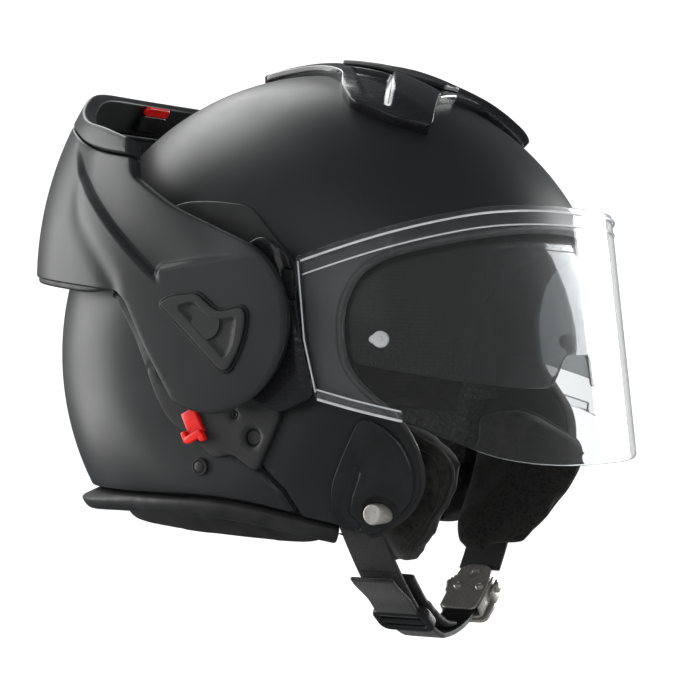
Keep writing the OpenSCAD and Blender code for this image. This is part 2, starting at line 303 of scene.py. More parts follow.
def distance(points, loop, closed=True):
    """Distance of each point from a line."""
    a = loop if closed else loop[:-1]
    b = np.roll(loop, -1, 0) if closed else loop[1:]
    best = np.full(len(points), 1e9)
    for p, q in zip(a, b):
        v = q - p
        t = np.clip(((points - p) @ v) / max(v @ v, 1e-12), 0, 1)
        best = np.minimum(best, np.linalg.norm(points - p - t[:, None] * v, axis=1))
    return best


def beside(points, line):
    """Signed distance from an open line: positive to the left of its direction."""
    best, sign = np.full(len(points), 1e9), np.ones(len(points))
    for p, q in zip(line[:-1], line[1:]):
        v = q - p
        t = np.clip(((points - p) @ v) / (v @ v), 0, 1)
        w = points - p - t[:, None] * v
        d = np.linalg.norm(w, axis=1)
        s = np.sign(v[0] * (points[:, 1] - p[1]) - v[1] * (points[:, 0] - p[0]))
        closer = d < best - 1e-9
        best = np.where(closer, d, best)
        sign = np.where(closer, s, sign)
    return best * sign


def ease(x, low, high):
    t = np.clip((x - low) / (high - low), 0, 1)
    return t * t * (3 - 2 * t)


def unit_loop_normals(q):
    """Inward normals of an anticlockwise loop."""
    t = unit(np.roll(q, -1, 0) - np.roll(q, 1, 0))
    return np.stack([-t[:, 1], t[:, 0]], 1)

# ---------------------------------------------------------------- meshes


def linked(name, data):
    """A new object in the scene."""
    obj = bpy.data.objects.new(name, data)
    bpy.context.scene.collection.objects.link(obj)
    return obj


def edit_mesh(mesh, *steps):
    """Runs each step on a mesh's bmesh."""
    bm = bmesh.new()
    bm.from_mesh(mesh)
    for step in steps:
        step(bm)
    bm.to_mesh(mesh)
    bm.free()


def outward(bm):
    bmesh.ops.recalc_face_normals(bm, faces=bm.faces)


def drop_slivers(bm):
    bmesh.ops.dissolve_degenerate(bm, edges=bm.edges, dist=1e-7)


def weld(limit):
    return lambda bm: bmesh.ops.remove_doubles(bm, verts=bm.verts, dist=limit)


def new_mesh(name, verts, faces, smooth=True):
    mesh = bpy.data.meshes.new(name)
    mesh.from_pydata([tuple(np.asarray(v) * MM) for v in verts], [], [tuple(f) for f in faces])
    mesh.update()
    edit_mesh(mesh, weld(1e-6), drop_slivers, outward)
    if smooth:
        mesh.shade_smooth()
    return linked(name, mesh)


def tube_faces(m, n, closed=False):
    """Faces between n rings of m points, each ring after the last."""
    return [(i * m + k, i * m + (k + 1) % m, (i + 1) % n * m + (k + 1) % m, (i + 1) % n * m + k)
            for i in range(n if closed else n - 1) for k in range(m)]


def end_faces(m, n):
    return [tuple(range(m)), tuple(reversed(range((n - 1) * m, n * m)))]


def mirrored(obj, name):
    """The same piece on the wearer's left."""
    mesh = obj.data.copy()

    def flip(bm):
        for v in bm.verts:
            v.co.y = -v.co.y
        bmesh.ops.reverse_faces(bm, faces=bm.faces)

    edit_mesh(mesh, flip)
    return linked(name, mesh)


EDGE_GAP = 0.55
EXTRA_GAP = 0.6
EXTRA_EDGE_GAP = 0.8


def fill_points(loop, step):
    """A honeycomb of points inside a loop."""
    low, high = loop.min(0), loop.max(0)
    rows = np.arange(low[1], high[1], step * math.sqrt(3) / 2)
    grid = np.array([[x + (k % 2) * step / 2, y] for k, y in enumerate(rows)
                     for x in np.arange(low[0], high[0], step)])
    grid = grid[inside(grid, loop)]
    return grid[distance(grid, loop) > EDGE_GAP * step] if len(grid) else grid


def triangulate(loop, step, extra=None):
    """Triangles over a loop's inside: the loop's own points come first."""
    grid = fill_points(loop, step)
    if extra is not None:
        extra = extra[inside(extra, loop)]
        extra = extra[distance(extra, loop) > EXTRA_EDGE_GAP]
        if len(grid) and len(extra):
            far = np.array([np.min(np.hypot(*(extra - g).T)) > EXTRA_GAP * step for g in grid])
            grid = grid[far]
        grid = np.vstack([grid, extra])
    points = np.vstack([loop, grid]) if len(grid) else loop
    verts = [Vector(p) for p in points]
    out, _, faces, came, _, _ = delaunay_2d_cdt(verts, [], [list(range(len(loop)))], 1, 1e-5)
    index = [c[0] if c else -1 for c in came]
    faces = [[index[i] for i in f] for f in faces]
    faces = [f for f in faces if -1 not in f and len(set(f)) == 3]
    return points, faces


def panel(name, chart, loop, top, bottom, edge=1.0, step=3.0, relief=None, extra=None, arc=4, lip=0.35):
    """A closed shell over a loop of a chart, from height bottom to height top. Its outer edge is rounded
    by edge in arc steps and its inner edge drawn in by lip; step spaces its points, and extra adds more.
    relief(points, flat points) adds to the height of the outer face."""
    if area(loop) < 0:
        loop = loop[::-1]
    normal = unit_loop_normals(loop)
    probe = 0.05
    metric = np.linalg.norm(chart.lift(loop + normal * probe) - chart.lift(loop), axis=1) / probe
    metric = np.clip(metric, 0.3, 3.0)[:, None]

    def ring(inset):
        return loop + normal * inset / metric

    rings = [(ring(lip), bottom), (ring(0), bottom + lip)]
    for k in range(arc + 1):
        angle = math.pi / 2 * k / arc
        rings.append((ring(edge * (1 - math.cos(angle))), top - edge + edge * math.sin(angle)))
    points, faces = triangulate(rings[-1][0], step, extra)
    count = len(loop)

    def raised(q, h):
        if relief is None:
            return chart.lift(q, h)
        return chart.lift(q, h + relief(chart.lift(q, h), q))

    verts = [chart.lift(q, h) for q, h in rings[:2]]
    verts += [raised(q, h) for q, h in rings[2:-1]]
    verts.append(raised(points, top))
    verts.append(chart.lift(points, bottom))
    start = [0]
    for v in verts:
        start.append(start[-1] + len(v))
    all_faces = tube_faces(count, len(rings))
    top_at, under_at = start[len(rings) - 1], start[len(rings)]
    all_faces += [tuple(top_at + i for i in f) for f in faces]
    all_faces += [tuple(under_at + i for i in reversed(f)) for f in faces]
    for i in range(count):
        j = (i + 1) % count
        all_faces.append((under_at + i, under_at + j, j, i))
    return new_mesh(name, np.vstack(verts), all_faces)


def sweep(name, path, profile, normals, closed=False):
    """A profile of [out, along the surface] points carried along a 3-D path. normals point outwards."""
    path, normals = np.asarray(path, float), unit(normals)
    if closed:
        tangent = unit(np.roll(path, -1, 0) - np.roll(path, 1, 0))
    else:
        tangent = unit(np.gradient(path, axis=0))
    side = unit(np.cross(tangent, normals))
    profile = np.asarray(profile, float)
    verts = [path + normals * o + side * s for o, s in profile]
    verts = np.stack(verts, 1).reshape(-1, 3)
    m, n = len(profile), len(path)
    return new_mesh(name, verts, tube_faces(m, n, closed) + ([] if closed else end_faces(m, n)))


def round_profile(width, height, corner, n=4):
    """A rounded rectangle as [out, side] points."""
    points = []
    for sx, sy, start in ((1, 1, 0), (-1, 1, 90), (-1, -1, 180), (1, -1, 270)):
        for k in range(n + 1):
            a = math.radians(start + 90 * k / n)
            points.append((sx * (height / 2 - corner) + corner * math.cos(a),
                           sy * (width / 2 - corner) + corner * math.sin(a)))
    return points


def surface_normals(chart, q, h=0.0):
    """Outward normals of a chart's surface."""
    e = 0.5
    p = chart.lift(q, h)
    a = chart.lift(q + (e, 0), h) - p
    b = chart.lift(q + (0, e), h) - p
    n = unit(np.cross(a, b))
    outward = chart.lift(q, h + 1.0) - p
    return n * np.sign(np.sum(n * outward, 1))[:, None]

# ---------------------------------------------------------------- materials


class Paint:
    """A procedural material: a Principled shader and small helpers to vary it over the surface."""

    def __init__(self, name, colour, roughness, **sockets):
        self.mat = bpy.data.materials.new(name)
        self.mat.use_nodes = True
        self.tree = self.mat.node_tree
        self.shader = self.tree.nodes["Principled BSDF"]
        self.put(self.shader, "Base Color", (*colour, 1))
        self.put(self.shader, "Roughness", roughness)
        for key, value in sockets.items():
            self.put(self.shader, key.replace("_", " "), value)
        self.place = self.tree.nodes.new("ShaderNodeTexCoord").outputs["Object"]
        self.height = None

    def put(self, node, socket, value):
        node.inputs[socket].default_value = value

    def link(self, a, b):
        self.tree.links.new(a, b)

    def stretched(self, scale):
        node = self.tree.nodes.new("ShaderNodeMapping")
        self.put(node, "Scale", scale)
        self.link(self.place, node.inputs["Vector"])
        return node.outputs["Vector"]

    def noise(self, scale, detail=3, rough=0.55, stretch=None):
        node = self.tree.nodes.new("ShaderNodeTexNoise")
        self.put(node, "Scale", scale)
        self.put(node, "Detail", detail)
        self.put(node, "Roughness", rough)
        self.link(self.stretched(stretch) if stretch else self.place, node.inputs["Vector"])
        return node.outputs["Fac"]

    def cells(self, scale, feature="F1", stretch=None):
        node = self.tree.nodes.new("ShaderNodeTexVoronoi")
        node.feature = feature
        self.put(node, "Scale", scale)
        self.link(self.stretched(stretch) if stretch else self.place, node.inputs["Vector"])
        return node.outputs["Distance"]

    def wave(self, scale, direction="X", distortion=0.0):
        node = self.tree.nodes.new("ShaderNodeTexWave")
        node.bands_direction = direction
        self.put(node, "Scale", scale)
        self.put(node, "Distortion", distortion)
        self.link(self.place, node.inputs["Vector"])
        return node.outputs["Fac"]

    def combine(self, a, b, operation="MULTIPLY"):
        node = self.tree.nodes.new("ShaderNodeMath")
        node.operation = operation
        self.link(a, node.inputs[0])
        if isinstance(b, (int, float)):
            node.inputs[1].default_value = b
        else:
            self.link(b, node.inputs[1])
        return node.outputs[0]

    def tint(self, factor, dark, light, low=0.35, high=0.65):
        """Base colour between two colours, by a pattern."""
        ramp = self.tree.nodes.new("ShaderNodeValToRGB")
        ramp.color_ramp.elements[0].position = low
        ramp.color_ramp.elements[1].position = high
        ramp.color_ramp.elements[0].color = (*dark, 1)
        ramp.color_ramp.elements[1].color = (*light, 1)
        self.link(factor, ramp.inputs["Fac"])
        self.link(ramp.outputs["Color"], self.shader.inputs["Base Color"])
        return self

    def gloss(self, factor, low, high):
        """Roughness between two values, by a pattern."""
        node = self.tree.nodes.new("ShaderNodeMapRange")
        self.put(node, "From Min", 0.3)
        self.put(node, "From Max", 0.7)
        self.put(node, "To Min", low)
        self.put(node, "To Max", high)
        self.link(factor, node.inputs["Value"])
        self.link(node.outputs["Result"], self.shader.inputs["Roughness"])
        return self

    def bump(self, factor, depth_mm, strength=1.0):
        """Adds relief of a given depth."""
        node = self.tree.nodes.new("ShaderNodeBump")
        self.put(node, "Distance", depth_mm * MM)
        self.put(node, "Strength", strength)
        self.link(factor, node.inputs["Height"])
        if self.height is not None:
            self.link(self.height, node.inputs["Normal"])
        self.height = node.outputs["Normal"]
        self.link(self.height, self.shader.inputs["Normal"])
        return self


def lacquer():
    """Satin black lacquer: a very fine grain, with broad faint cloudiness in its gloss."""
    p = Paint("satin_lacquer", (0.012, 0.0125, 0.0135), 0.4, Specular_IOR_Level=0.55)
    cloud = p.noise(14, 2)
    p.tint(cloud, (0.010, 0.0105, 0.0112), (0.0145, 0.0152, 0.0165), 0.3, 0.7)
    p.gloss(p.noise(35, 3), 0.36, 0.42)
    p.bump(p.noise(1900, 2), 0.012, 0.35)
    return p.mat


def moulded(name, colour, low, high, grain=1400, depth=0.05):
    """Moulded plastic with a fine spark-eroded grain."""
    p = Paint(name, colour, (low + high) / 2, Specular_IOR_Level=0.5)
    lighter = tuple(c * 1.5 + 0.002 for c in colour)
    p.tint(p.noise(60, 4), colour, lighter, 0.3, 0.75)
    p.gloss(p.noise(220, 3), low, high)
    p.bump(p.noise(grain, 2), depth, 0.5)
    return p.mat


def polished(name, colour, rough=0.12):
    """Polished black plastic with faint rubbing marks."""
    p = Paint(name, colour, rough, Specular_IOR_Level=0.6, Coat_Weight=0.35, Coat_Roughness=0.06)
    p.gloss(p.noise(90, 5, 0.7, (1, 1, 6)), rough * 0.7, rough * 1.7)
    p.tint(p.noise(40, 3), colour, tuple(c * 1.3 for c in colour))
    p.bump(p.noise(300, 2), 0.01, 0.2)
    return p.mat


def rubber():
    p = Paint("trim_rubber", (0.012, 0.012, 0.0125), 0.5, Specular_IOR_Level=0.45)
    p.tint(p.noise(90, 4), (0.009, 0.009, 0.0095), (0.02, 0.02, 0.021), 0.3, 0.75)
    p.gloss(p.noise(160, 4), 0.42, 0.6)
    p.bump(p.noise(900, 3), 0.06, 0.5)
    return p.mat


def suede(name, dark, light):
    """Brushed microfibre with a mottled, rubbed nap."""
    p = Paint(name, light, 0.95, Specular_IOR_Level=0.15, Sheen_Weight=0.12, Sheen_Roughness=0.5)
    nap = p.combine(p.noise(150, 7, 0.75), p.cells(520), "ADD")
    p.tint(p.combine(nap, 0.62), dark, light, 0.4, 0.66)
    p.bump(p.noise(1300, 3, 0.7), 0.35, 0.8)
    p.bump(p.noise(160, 4), 0.6, 0.5)
    return p.mat


def leatherette(name):
    """Coated fabric with a pebbled grain."""
    p = Paint(name, (0.012, 0.0115, 0.011), 0.5, Specular_IOR_Level=0.45)
    grain = p.cells(520, "DISTANCE_TO_EDGE")
    p.tint(p.noise(70, 4), (0.008, 0.0078, 0.0075), (0.02, 0.019, 0.0185), 0.3, 0.75)
    p.gloss(grain, 0.62, 0.4)
    p.bump(grain, 0.25, 0.6)
    p.bump(p.noise(60, 3), 0.6, 0.35)
    return p.mat


def knit(name, dark, light, pitch=420):
    """Knitted mesh: rows of small loops in both directions."""
    p = Paint(name, dark, 0.9, Specular_IOR_Level=0.15, Sheen_Weight=0.1, Sheen_Roughness=0.5)
    weave = p.combine(p.wave(pitch, "X"), p.combine(p.wave(pitch, "Y"), p.wave(pitch, "Z"), "ADD"), "ADD")
    weave = p.combine(weave, 0.34)
    p.tint(weave, dark, light, 0.3, 0.7)
    p.bump(weave, 0.35, 0.7)
    p.bump(p.noise(90, 3), 0.8, 0.3)
    return p.mat


def webbing_cloth(name):
    """Tightly woven polyester webbing: ribs across it and fine warp threads along it."""
    p = Paint(name, (0.008, 0.008, 0.0085), 0.72, Specular_IOR_Level=0.35, Sheen_Weight=0.15)
    ribs = p.wave(460, "DIAGONAL", 0.6)
    warp = p.wave(760, "X", 0.3)
    weave = p.combine(p.combine(ribs, warp, "ADD"), 0.5)
    p.tint(weave, (0.005, 0.005, 0.0055), (0.02, 0.02, 0.021), 0.25, 0.8)
    p.gloss(p.noise(300, 3), 0.6, 0.8)
    p.bump(weave, 0.22, 0.8)
    return p.mat


def steel(name, colour, low, high, stretch=(1, 14, 1)):
    """Stamped and tumbled steel, finely scratched along one direction."""
    p = Paint(name, colour, (low + high) / 2, Metallic=0.8)
    scratch = p.noise(700, 4, 0.7, stretch)
    p.gloss(scratch, low, high)
    p.tint(p.noise(150, 4), tuple(c * 0.82 for c in colour), colour, 0.3, 0.7)
    p.bump(scratch, 0.02, 0.35)
    return p.mat


def clear_lens():
    p = Paint("clear_polycarbonate", (0.9, 0.91, 0.915), 0.01, IOR=1.27, Transmission_Weight=1.0)
    p.tint(p.noise(12, 2), (0.89, 0.9, 0.905), (0.915, 0.925, 0.93))
    p.gloss(p.noise(20, 2), 0.004, 0.012)
    return p.mat


def painted_lens_highlight():
    """Painted highlight: a pale, half-opaque material standing in for the light caught on a clear moulded
    lens's edges and ledges.
    """
    p = Paint("lens_edge_painted_highlight", (0.82, 0.84, 0.86), 0.12, IOR=1.4, Transmission_Weight=0.55)
    p.tint(p.noise(70, 3), (0.7, 0.72, 0.74), (0.9, 0.92, 0.94), 0.3, 0.7)
    p.gloss(p.noise(120, 3), 0.08, 0.2)
    return p.mat


def smoke_lens():
    p = Paint("smoke_polycarbonate", (0.3, 0.315, 0.32), 0.02, IOR=1.22, Transmission_Weight=1.0)
    p.tint(p.noise(12, 2), (0.27, 0.285, 0.29), (0.33, 0.345, 0.35))
    p.gloss(p.noise(25, 2), 0.012, 0.035)
    return p.mat


def red_plastic():
    p = Paint("red_plastic", (0.72, 0.008, 0.006), 0.3, Specular_IOR_Level=0.5, Coat_Weight=0.2)
    p.tint(p.noise(150, 4), (0.6, 0.006, 0.005), (0.78, 0.012, 0.008), 0.3, 0.7)
    p.gloss(p.noise(300, 3), 0.24, 0.38)
    p.bump(p.noise(1200, 2), 0.03, 0.4)
    return p.mat


def bead_foam():
    """Expanded foam: pressed beads with fine seams between them."""
    p = Paint("bead_foam", (0.02, 0.02, 0.021), 0.85, Specular_IOR_Level=0.3)
    beads = p.cells(330, "DISTANCE_TO_EDGE")
    p.tint(beads, (0.012, 0.012, 0.0125), (0.03, 0.03, 0.031), 0.02, 0.3)
    p.bump(beads, 0.4, 0.7)
    return p.mat


LACQUER = lacquer()
PLASTIC = moulded("grained_plastic", (0.012, 0.0122, 0.0128), 0.42, 0.55)
DARK_PLASTIC = moulded("dark_plastic", (0.005, 0.005, 0.0055), 0.3, 0.45, 1600, 0.03)
GLOSS = polished("polished_plastic", (0.007, 0.007, 0.0078), 0.2)
SATIN_PLASTIC = moulded("satin_plastic", (0.009, 0.0092, 0.0098), 0.3, 0.4, 1700, 0.02)
RUBBER = rubber()
SUEDE = suede("pad_suede", (0.0022, 0.0021, 0.002), (0.0095, 0.0088, 0.0082))
LEATHERETTE = leatherette("neck_leatherette")
KNIT = knit("lining_knit", (0.0025, 0.0025, 0.0027), (0.008, 0.008, 0.0084))
WEBBING = webbing_cloth("strap_webbing")
STEEL = steel("stamped_steel", (0.62, 0.6, 0.56), 0.22, 0.38)
PIN_STEEL = steel("pin_steel", (0.78, 0.76, 0.71), 0.25, 0.42, (1, 1, 1))
CLEAR = clear_lens()
# Painted highlight for the lens edges: a pale material in place of the light they catch.
LENS_HIGHLIGHT_PAINT = painted_lens_highlight()
# Near-black matte plastic for painted shade: the dark strip in the slanting groove and the inside of the
# socket.
SHADE_BLACK = moulded("painted_shade_black", (0.0006, 0.0006, 0.0006), 0.85, 0.95, 1600, 0.03)
SMOKE = smoke_lens()
RED = red_plastic()
FOAM = bead_foam()
PIN_PLASTIC = moulded("pin_plastic", (0.3, 0.31, 0.31), 0.3, 0.45, 900, 0.05)


def finish(piece, mat, body, *nodes):
    """Gives a piece its material and its body, and hides the CAD nodes that it stands for."""
    piece.data.materials.clear()
    piece.data.materials.append(mat)
    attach(piece, body)
    if nodes:
        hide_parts(*nodes)
    return piece


def finish_pair(right, mat, body, *nodes):
    """Finishes a right-hand piece and its mirror on the left; nodes are the right's, then the left's."""
    finish(mirrored(right, right.name.replace("_right", "_left")), mat, body, *nodes[1:])
    finish(right, mat, body, *nodes[:1])


def repaint(mat, *nodes):
    """Puts a better material on CAD nodes that keep their shape."""
    for name in nodes:
        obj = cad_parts[name]
        for slot in obj.material_slots:
            slot.material = mat

# ---------------------------------------------------------------- outlines on the helmet

RIM_LINE = [(-200, -84, 0), (0, -84, 30), (50, -96, 30), (62, -100, 2)]
EYE_PORT = [(66, -103, 3), (84, -91, 8), (93, -75, 8), (91.5, -57, 8), (86, -45, 8), (73, -33, 10),
            (63, -19, 12), (61, 8, 14), (72, 31, 16), (140, 52, 20), (230, 62, 0)]
CHIN_TOP = [(-220, 136, 0), (-116, 124, 8), (-104, 111, 10), (-90, 103, 10), (-72, 99, 8), (-52, 92, 5)]
SEAM = [(-50.5, 83, 0), (-68, 86, 10), (-87, 91, 10), (-101, 98, 10), (-128, 108, 12), (-240, 116, 0)]
DIAGONAL = [(-49, 74, 4), (-24, 58, 10), (19.5, 39.5, 3)]
CHIN_LOW = [(-22, -38.1, 3), (-38, -12, 8), (-52, 15, 8), (-74, 18, 12), (-160, 28, 10), (-220, 28, 0)]
PLATE = [(-84, 26, 4), (-69, 16, 6), (-56, -2, 8), (-47, -20, 8), (-40, -36, 8), (-32, -48, 6), (-14, -59, 6),
         (-6, -66, 4), (4, -63, 4), (18, -72, 4), (31, -46, 4), (31, -40, 2), (40, -35, 3), (39, 28, 6),
         (12, 57, 8), (-12, 60, 8), (-30, 60, 8), (-60, 46, 6)]
BRACKET = [(-10, 26, 2), (24, 42, 5), (38, 32, 4), (45.5, -10, 10), (51.5, -35, 3), (34, -43, 4),
           (-10, -26, 2)]
LENS_EDGE = [(210, 59, 0), (150, 59, 2), (122, 56, 12), (84, 45, 14), (41, 31, 3), (46, -10, 10),
             (52, -36, 3), (92, -46, 8), (107, -53, 10), (130, -65, 10), (150, -70, 8), (210, -70, 0)]
SUN_EDGE = [(240, 62, 0), (118, 60, 8), (60, 44, 10), (20, 20, 6), (-14, -4, 6), (-20, -20, 4), (-6, -28, 6),
            (30, -16, 4), (58, -18, 8), (96, -26, 10), (126, -32, 6), (240, -32, 0)]
COVER = [(-27.5, 9.5, 3), (-20, 12.8, 3), (-5, 14, 3), (5, 5.8, 3), (11, 5.4, 3), (20, 7.6, 3), (22.4, 4, 2),
         (21.5, -4, 6), (18, -14, 8), (12, -23, 3), (7.6, -22.5, 3), (-2.5, -13, 10), (-14, -2.2, 8)]
SCOOP = [(-48, 0, 3), (-40, 13, 5), (0, 24, 12), (20, 38, 6), (30, 56, 4), (41, 65, 4), (62, 63, 4),
         (78, 54, 3), (74, 44, 4), (67, 26, 8), (64, 0, 5)]
LATCH_PAD = [(71, -45, 4), (79, -47, 5), (88, -57, 6), (90.5, -71, 6), (87, -85, 6), (77, -95, 4),
             (66, -102, 4), (54, -99, 4), (52, -92, 4), (54, -78, 6), (62, -62, 8)]
PIN_AT = (82, -8)
PLUG_AT = (-16, -70)
SOCKET_AT = (16, -55)
SOCKET_R = 3.7
SCREW_AT = (6, -44)
LATCH_AT = (72, -91)
LEVER_AT = (-17, -49)
LEVER_TURN = math.radians(25)
LEVER_EULER = (0, -LEVER_TURN, 0)


def circle(centre, r, step=1.0, start=0.0, turn=2 * math.pi):
    count = max(12, int(abs(turn) * r / step))
    angles = start + np.linspace(0, turn, count, endpoint=False)
    return np.stack([centre[0] + r * np.cos(angles), centre[1] + r * np.sin(angles)], 1)


def mound(points, at, radius, height):
    """A round-shouldered raised spot in X and Z, or a hollow where the height is negative."""
    d = np.hypot(points[:, 0] - at[0], points[:, 2] - at[1])
    return height * (1 - ease(d, radius - 0.8, radius + 0.8))


def groove(points, line, width, depth):
    d = distance(points[:, [0, 2]], np.array(line, float), closed=False)
    return -depth * (1 - ease(d, width * 0.25, width * 0.75))


def near_line(chart, line, spread, step):
    """Extra points on both sides of a line on the form's right side, and their mirror, laid out flat."""
    line = resample(np.array(line, float), step, closed=False)
    normal = unit_loop_normals(line)
    bands = np.vstack([line + normal * s for s in np.arange(-spread, spread + 0.01, step)])
    y = chart.form.half_width(bands)
    right = np.stack([bands[:, 0], -y, bands[:, 1]], 1)
    flat = np.vstack([chart.flat(right), chart.flat(right * (1, -1, 1))])
    keep, seen = [], set()
    for q in flat:
        key = (round(q[0] / (step * 0.7)), round(q[1] / (step * 0.7)))
        if key not in seen:
            seen.add(key)
            keep.append(q)
    return np.array(keep)


# ---------------------------------------------------------------- outer shell

SLASH = [(3, -60), (16, -68), (29, -81), (33.5, -91), (36, -102)]
FRONT_EDGE = [(31, -43), (25, -56), (17, -68)]


def shell_relief(p, q):
    """The slanting groove below the side plate and the panel step at the front."""
    cut = groove(p, SLASH, 4.2, 2.4) * (1 - ease(-p[:, 2], 99, 106))
    xz = p[:, [0, 2]]
    below = beside(xz, np.array([(240, -46), (60, -36), (31, -43), (17, -68), (36, -102)], float))
    front = 0.9 * ease(below, 0.0, 2.0) * ease(p[:, 0], 14, 20)
    return np.minimum(front, 0.9) + cut


def outer_shell():
    chart = Chart(SHELL, CROWN_WAY)
    path = np.vstack([soft(RIM_LINE, False), soft(EYE_PORT, False)])
    loop = chart.flat(wrap_across(SHELL, path, 1.8))
    extra = np.vstack([near_line(chart, SLASH, 3, 0.9), near_line(chart, FRONT_EDGE, 3, 0.9)])
    skin = panel("shell_skin", chart, loop, 0.0, -SHELL_WALL, edge=1.2, step=3.2, relief=shell_relief,
                 extra=extra)
    return finish(skin, LACQUER, "helmet", "outer_shell")


def open_across(form, way, path, step, h):
    """A side path that leaves the silhouette at its last end only: right side, over the middle, left."""
    path = resample(path, FINE_STEP, closed=False)
    last = np.where(from_middle(form, path) < form.r - TOUCH)[0][-1]
    fine = np.array(list(path[:last + 1]) + fan_out(form, path[last + 1], path[last])[::-1])
    y = form.half_width(fine)
    y[-1] = 0
    right = np.stack([fine[:, 0], -y, fine[:, 1]], 1)
    line = resample(np.vstack([right, (right[::-1] * (1, -1, 1))[1:]]), step, closed=False)
    chart = Chart(form, way)
    q = chart.flat(line)
    return chart.lift(q, h), surface_normals(chart, q, h)


def rounded(obj, levels):
    modifier = obj.modifiers.new("round", "SUBSURF")
    modifier.levels = modifier.render_levels = levels


def face_seal():
    """Rubber edging round the eye port and down the front of each cheek."""
    path = soft([(64, -100, 0)] + EYE_PORT, False)
    line, normals = open_across(SHELL, CROWN_WAY, path, 2.5, -1.6)
    seal = sweep("eye_port_seal", line, round_profile(3.2, 6.2, 1.4), normals)
    return finish(seal, RUBBER, "helmet", "face_seal")


def rim_trim():
    """The rubber edging of the shell's lower rim, with a lip that grows out at the back."""
    path = soft([(52, -98.5, 0), (50, -98, 2), (0, -86, 30), (-200, -86, 0)], False)
    path[:, 1] -= 1.6
    line, normals = open_across(SHELL, CROWN_WAY, path, 2.5, -2.0)
    down = np.zeros_like(line)
    down[:, 2] = -1
    behind = ease(-line[:, 0], 62, 112)
    tangent = unit(np.gradient(line, axis=0))
    below = unit(np.cross(tangent, normals))
    below *= np.sign(np.sum(below * down, 1))[:, None]
    outline = [(3.2, -1.4), (4.2, 0.2), (4.4, 3.0), (3.8, 6.2), (1.5, 8.6), (-1.6, 9.0), (-4.0, 7.4),
               (-4.6, 3.2), (-4.0, -1.4)]
    verts = []
    for k, (out, low) in enumerate(outline):
        push = behind * (6.0 if 0 < k < 4 else 1.5 if k in (0, 4) else 0)
        lift = behind * (2.5 if k in (1, 2) else 0)
        verts.append(line + normals * (out + push)[:, None] + below * (low - lift)[:, None])
    verts = np.stack(verts, 1).reshape(-1, 3)
    m, n = len(outline), len(line)
    trim = new_mesh("rim_edging", verts, tube_faces(m, n) + end_faces(m, n))
    rounded(trim, 2)
    return finish(trim, RUBBER, "helmet", "rim_trim")


# ---------------------------------------------------------------- side plates, latches and vents


PLATE_STEP = [(-49, -25), (-42, -20), (-34, -28), (-20, -36), (-2, -41), (14, -40), (30, -36)]


def plate_relief(p, q):
    """Thin above, where the visor passes; stepped along its lower lobe; hollowed round socket and screw."""
    thin = -2.5 * ease(p[:, 2], 13.5, 15.5)
    rear = -1.6 * ease(-p[:, 0], 40, 58)
    step = -0.9 * ease(distance(q, np.array(PLATE_STEP, float), closed=False), 1.4, 0.4)
    return np.maximum(thin + np.where(p[:, 2] < 13.5, rear, 0), -2.6) + step \
        + mound(p, SOCKET_AT, SOCKET_R + 0.6, -2.4) + mound(p, SCREW_AT, 2.0, -1.4)


def side_plate():
    chart = SideChart(SHELL)
    loop = resample(soft(PLATE), 1.2)
    spots = np.vstack([circle(SOCKET_AT, r) for r in (2.8, 3.6, 4.2, 5.0)]
                      + [circle(SCREW_AT, r, 0.6) for r in (1.2, 1.8, 2.4, 3.0)])
    return panel("side_plate_skin_right", chart, loop, 4.0, 0.3, edge=0.8, step=2.2, relief=plate_relief,
                 extra=spots)


def latch_pad():
    """The raised pad that carries the chin bar's latch pin, with a slot and a ridge behind the pin."""
    chart = SideChart(SHELL)
    loop = resample(soft(LATCH_PAD), 1.2)
    slot = [(66, -70), (60, -82), (57, -91), (60, -97)]
    ridge = [(71, -62), (66, -78), (60, -92)]

    def relief(p, q):
        rim = 1.7 * ease(distance(q, loop), 5.0, 2.0) * ease(p[:, 0], 76, 82)
        well = mound(p, (LATCH_AT[0] + 1.5, LATCH_AT[1] + 1), 7.4, -1.8)
        return rim + well + groove(p, slot, 5.5, 2.4) - groove(p, ridge, 2.6, 0.8)

    spots = np.vstack([circle(LATCH_AT, r) for r in (5.5, 6.5, 7.5, 8.5)])
    return panel("latch_pad_right", chart, loop, 2.9, -0.6, edge=1.0, step=1.6, relief=relief, extra=spots)


def scoop_relief(p, q):
    """A raised tail, and on each side a sunk pocket with a block ahead of it."""
    across = np.abs(p[:, 1])
    block_line = p[:, 0] - (54 + 0.5 * (across - 49))
    pocket_line = p[:, 0] - (36 + 0.8 * (across - 47))
    shoulder = ease(across, 23, 26)
    ahead = ease(block_line, -0.6, 0.8)
    block = 3.0 * ahead * shoulder * (1 - ease(across, 50, 62))
    pocket = -3.4 * ease(pocket_line, -0.6, 0.6) * (1 - ahead) * shoulder * (1 - ease(across, 58, 61))
    tail = 1.8 * ease(-p[:, 0], -30, 10) * (1 - ease(across, 8, 20))
    return tail + block + pocket


def vent_scoop():
    """The top vent: a low base that runs out to a tail, with two blocks at the front."""
    plan = soft(SCOOP, False)
    plan = np.vstack([plan, (plan * (1, -1))[::-1][1:-1]])
    return plan_panel("vent_scoop_skin", (0.15, 0, 1), plan, 5.2, -0.8, 1.0, 1.5, scoop_relief)


def drop_to_shell(x, y):
    """Height of the shell's crown over a point of its plan."""
    rho = SHELL_R * (1 - (abs(y) / SHELL_W) ** SHELL_N) ** (1 / SHELL_N)
    return SHELL_AXIS[2] + math.sqrt(max(rho ** 2 - (x - SHELL_AXIS[0]) ** 2, 0))


def plan_panel(name, axis, plan, top, bottom, edge, step, relief):
    """A panel on the shell whose outline is drawn in plan."""
    chart = Chart(SHELL, axis)
    points = np.array([(x, y, drop_to_shell(x, y)) for x, y in plan])
    return panel(name, chart, resample(chart.flat(points), 1.2), top, bottom, edge, step, relief)


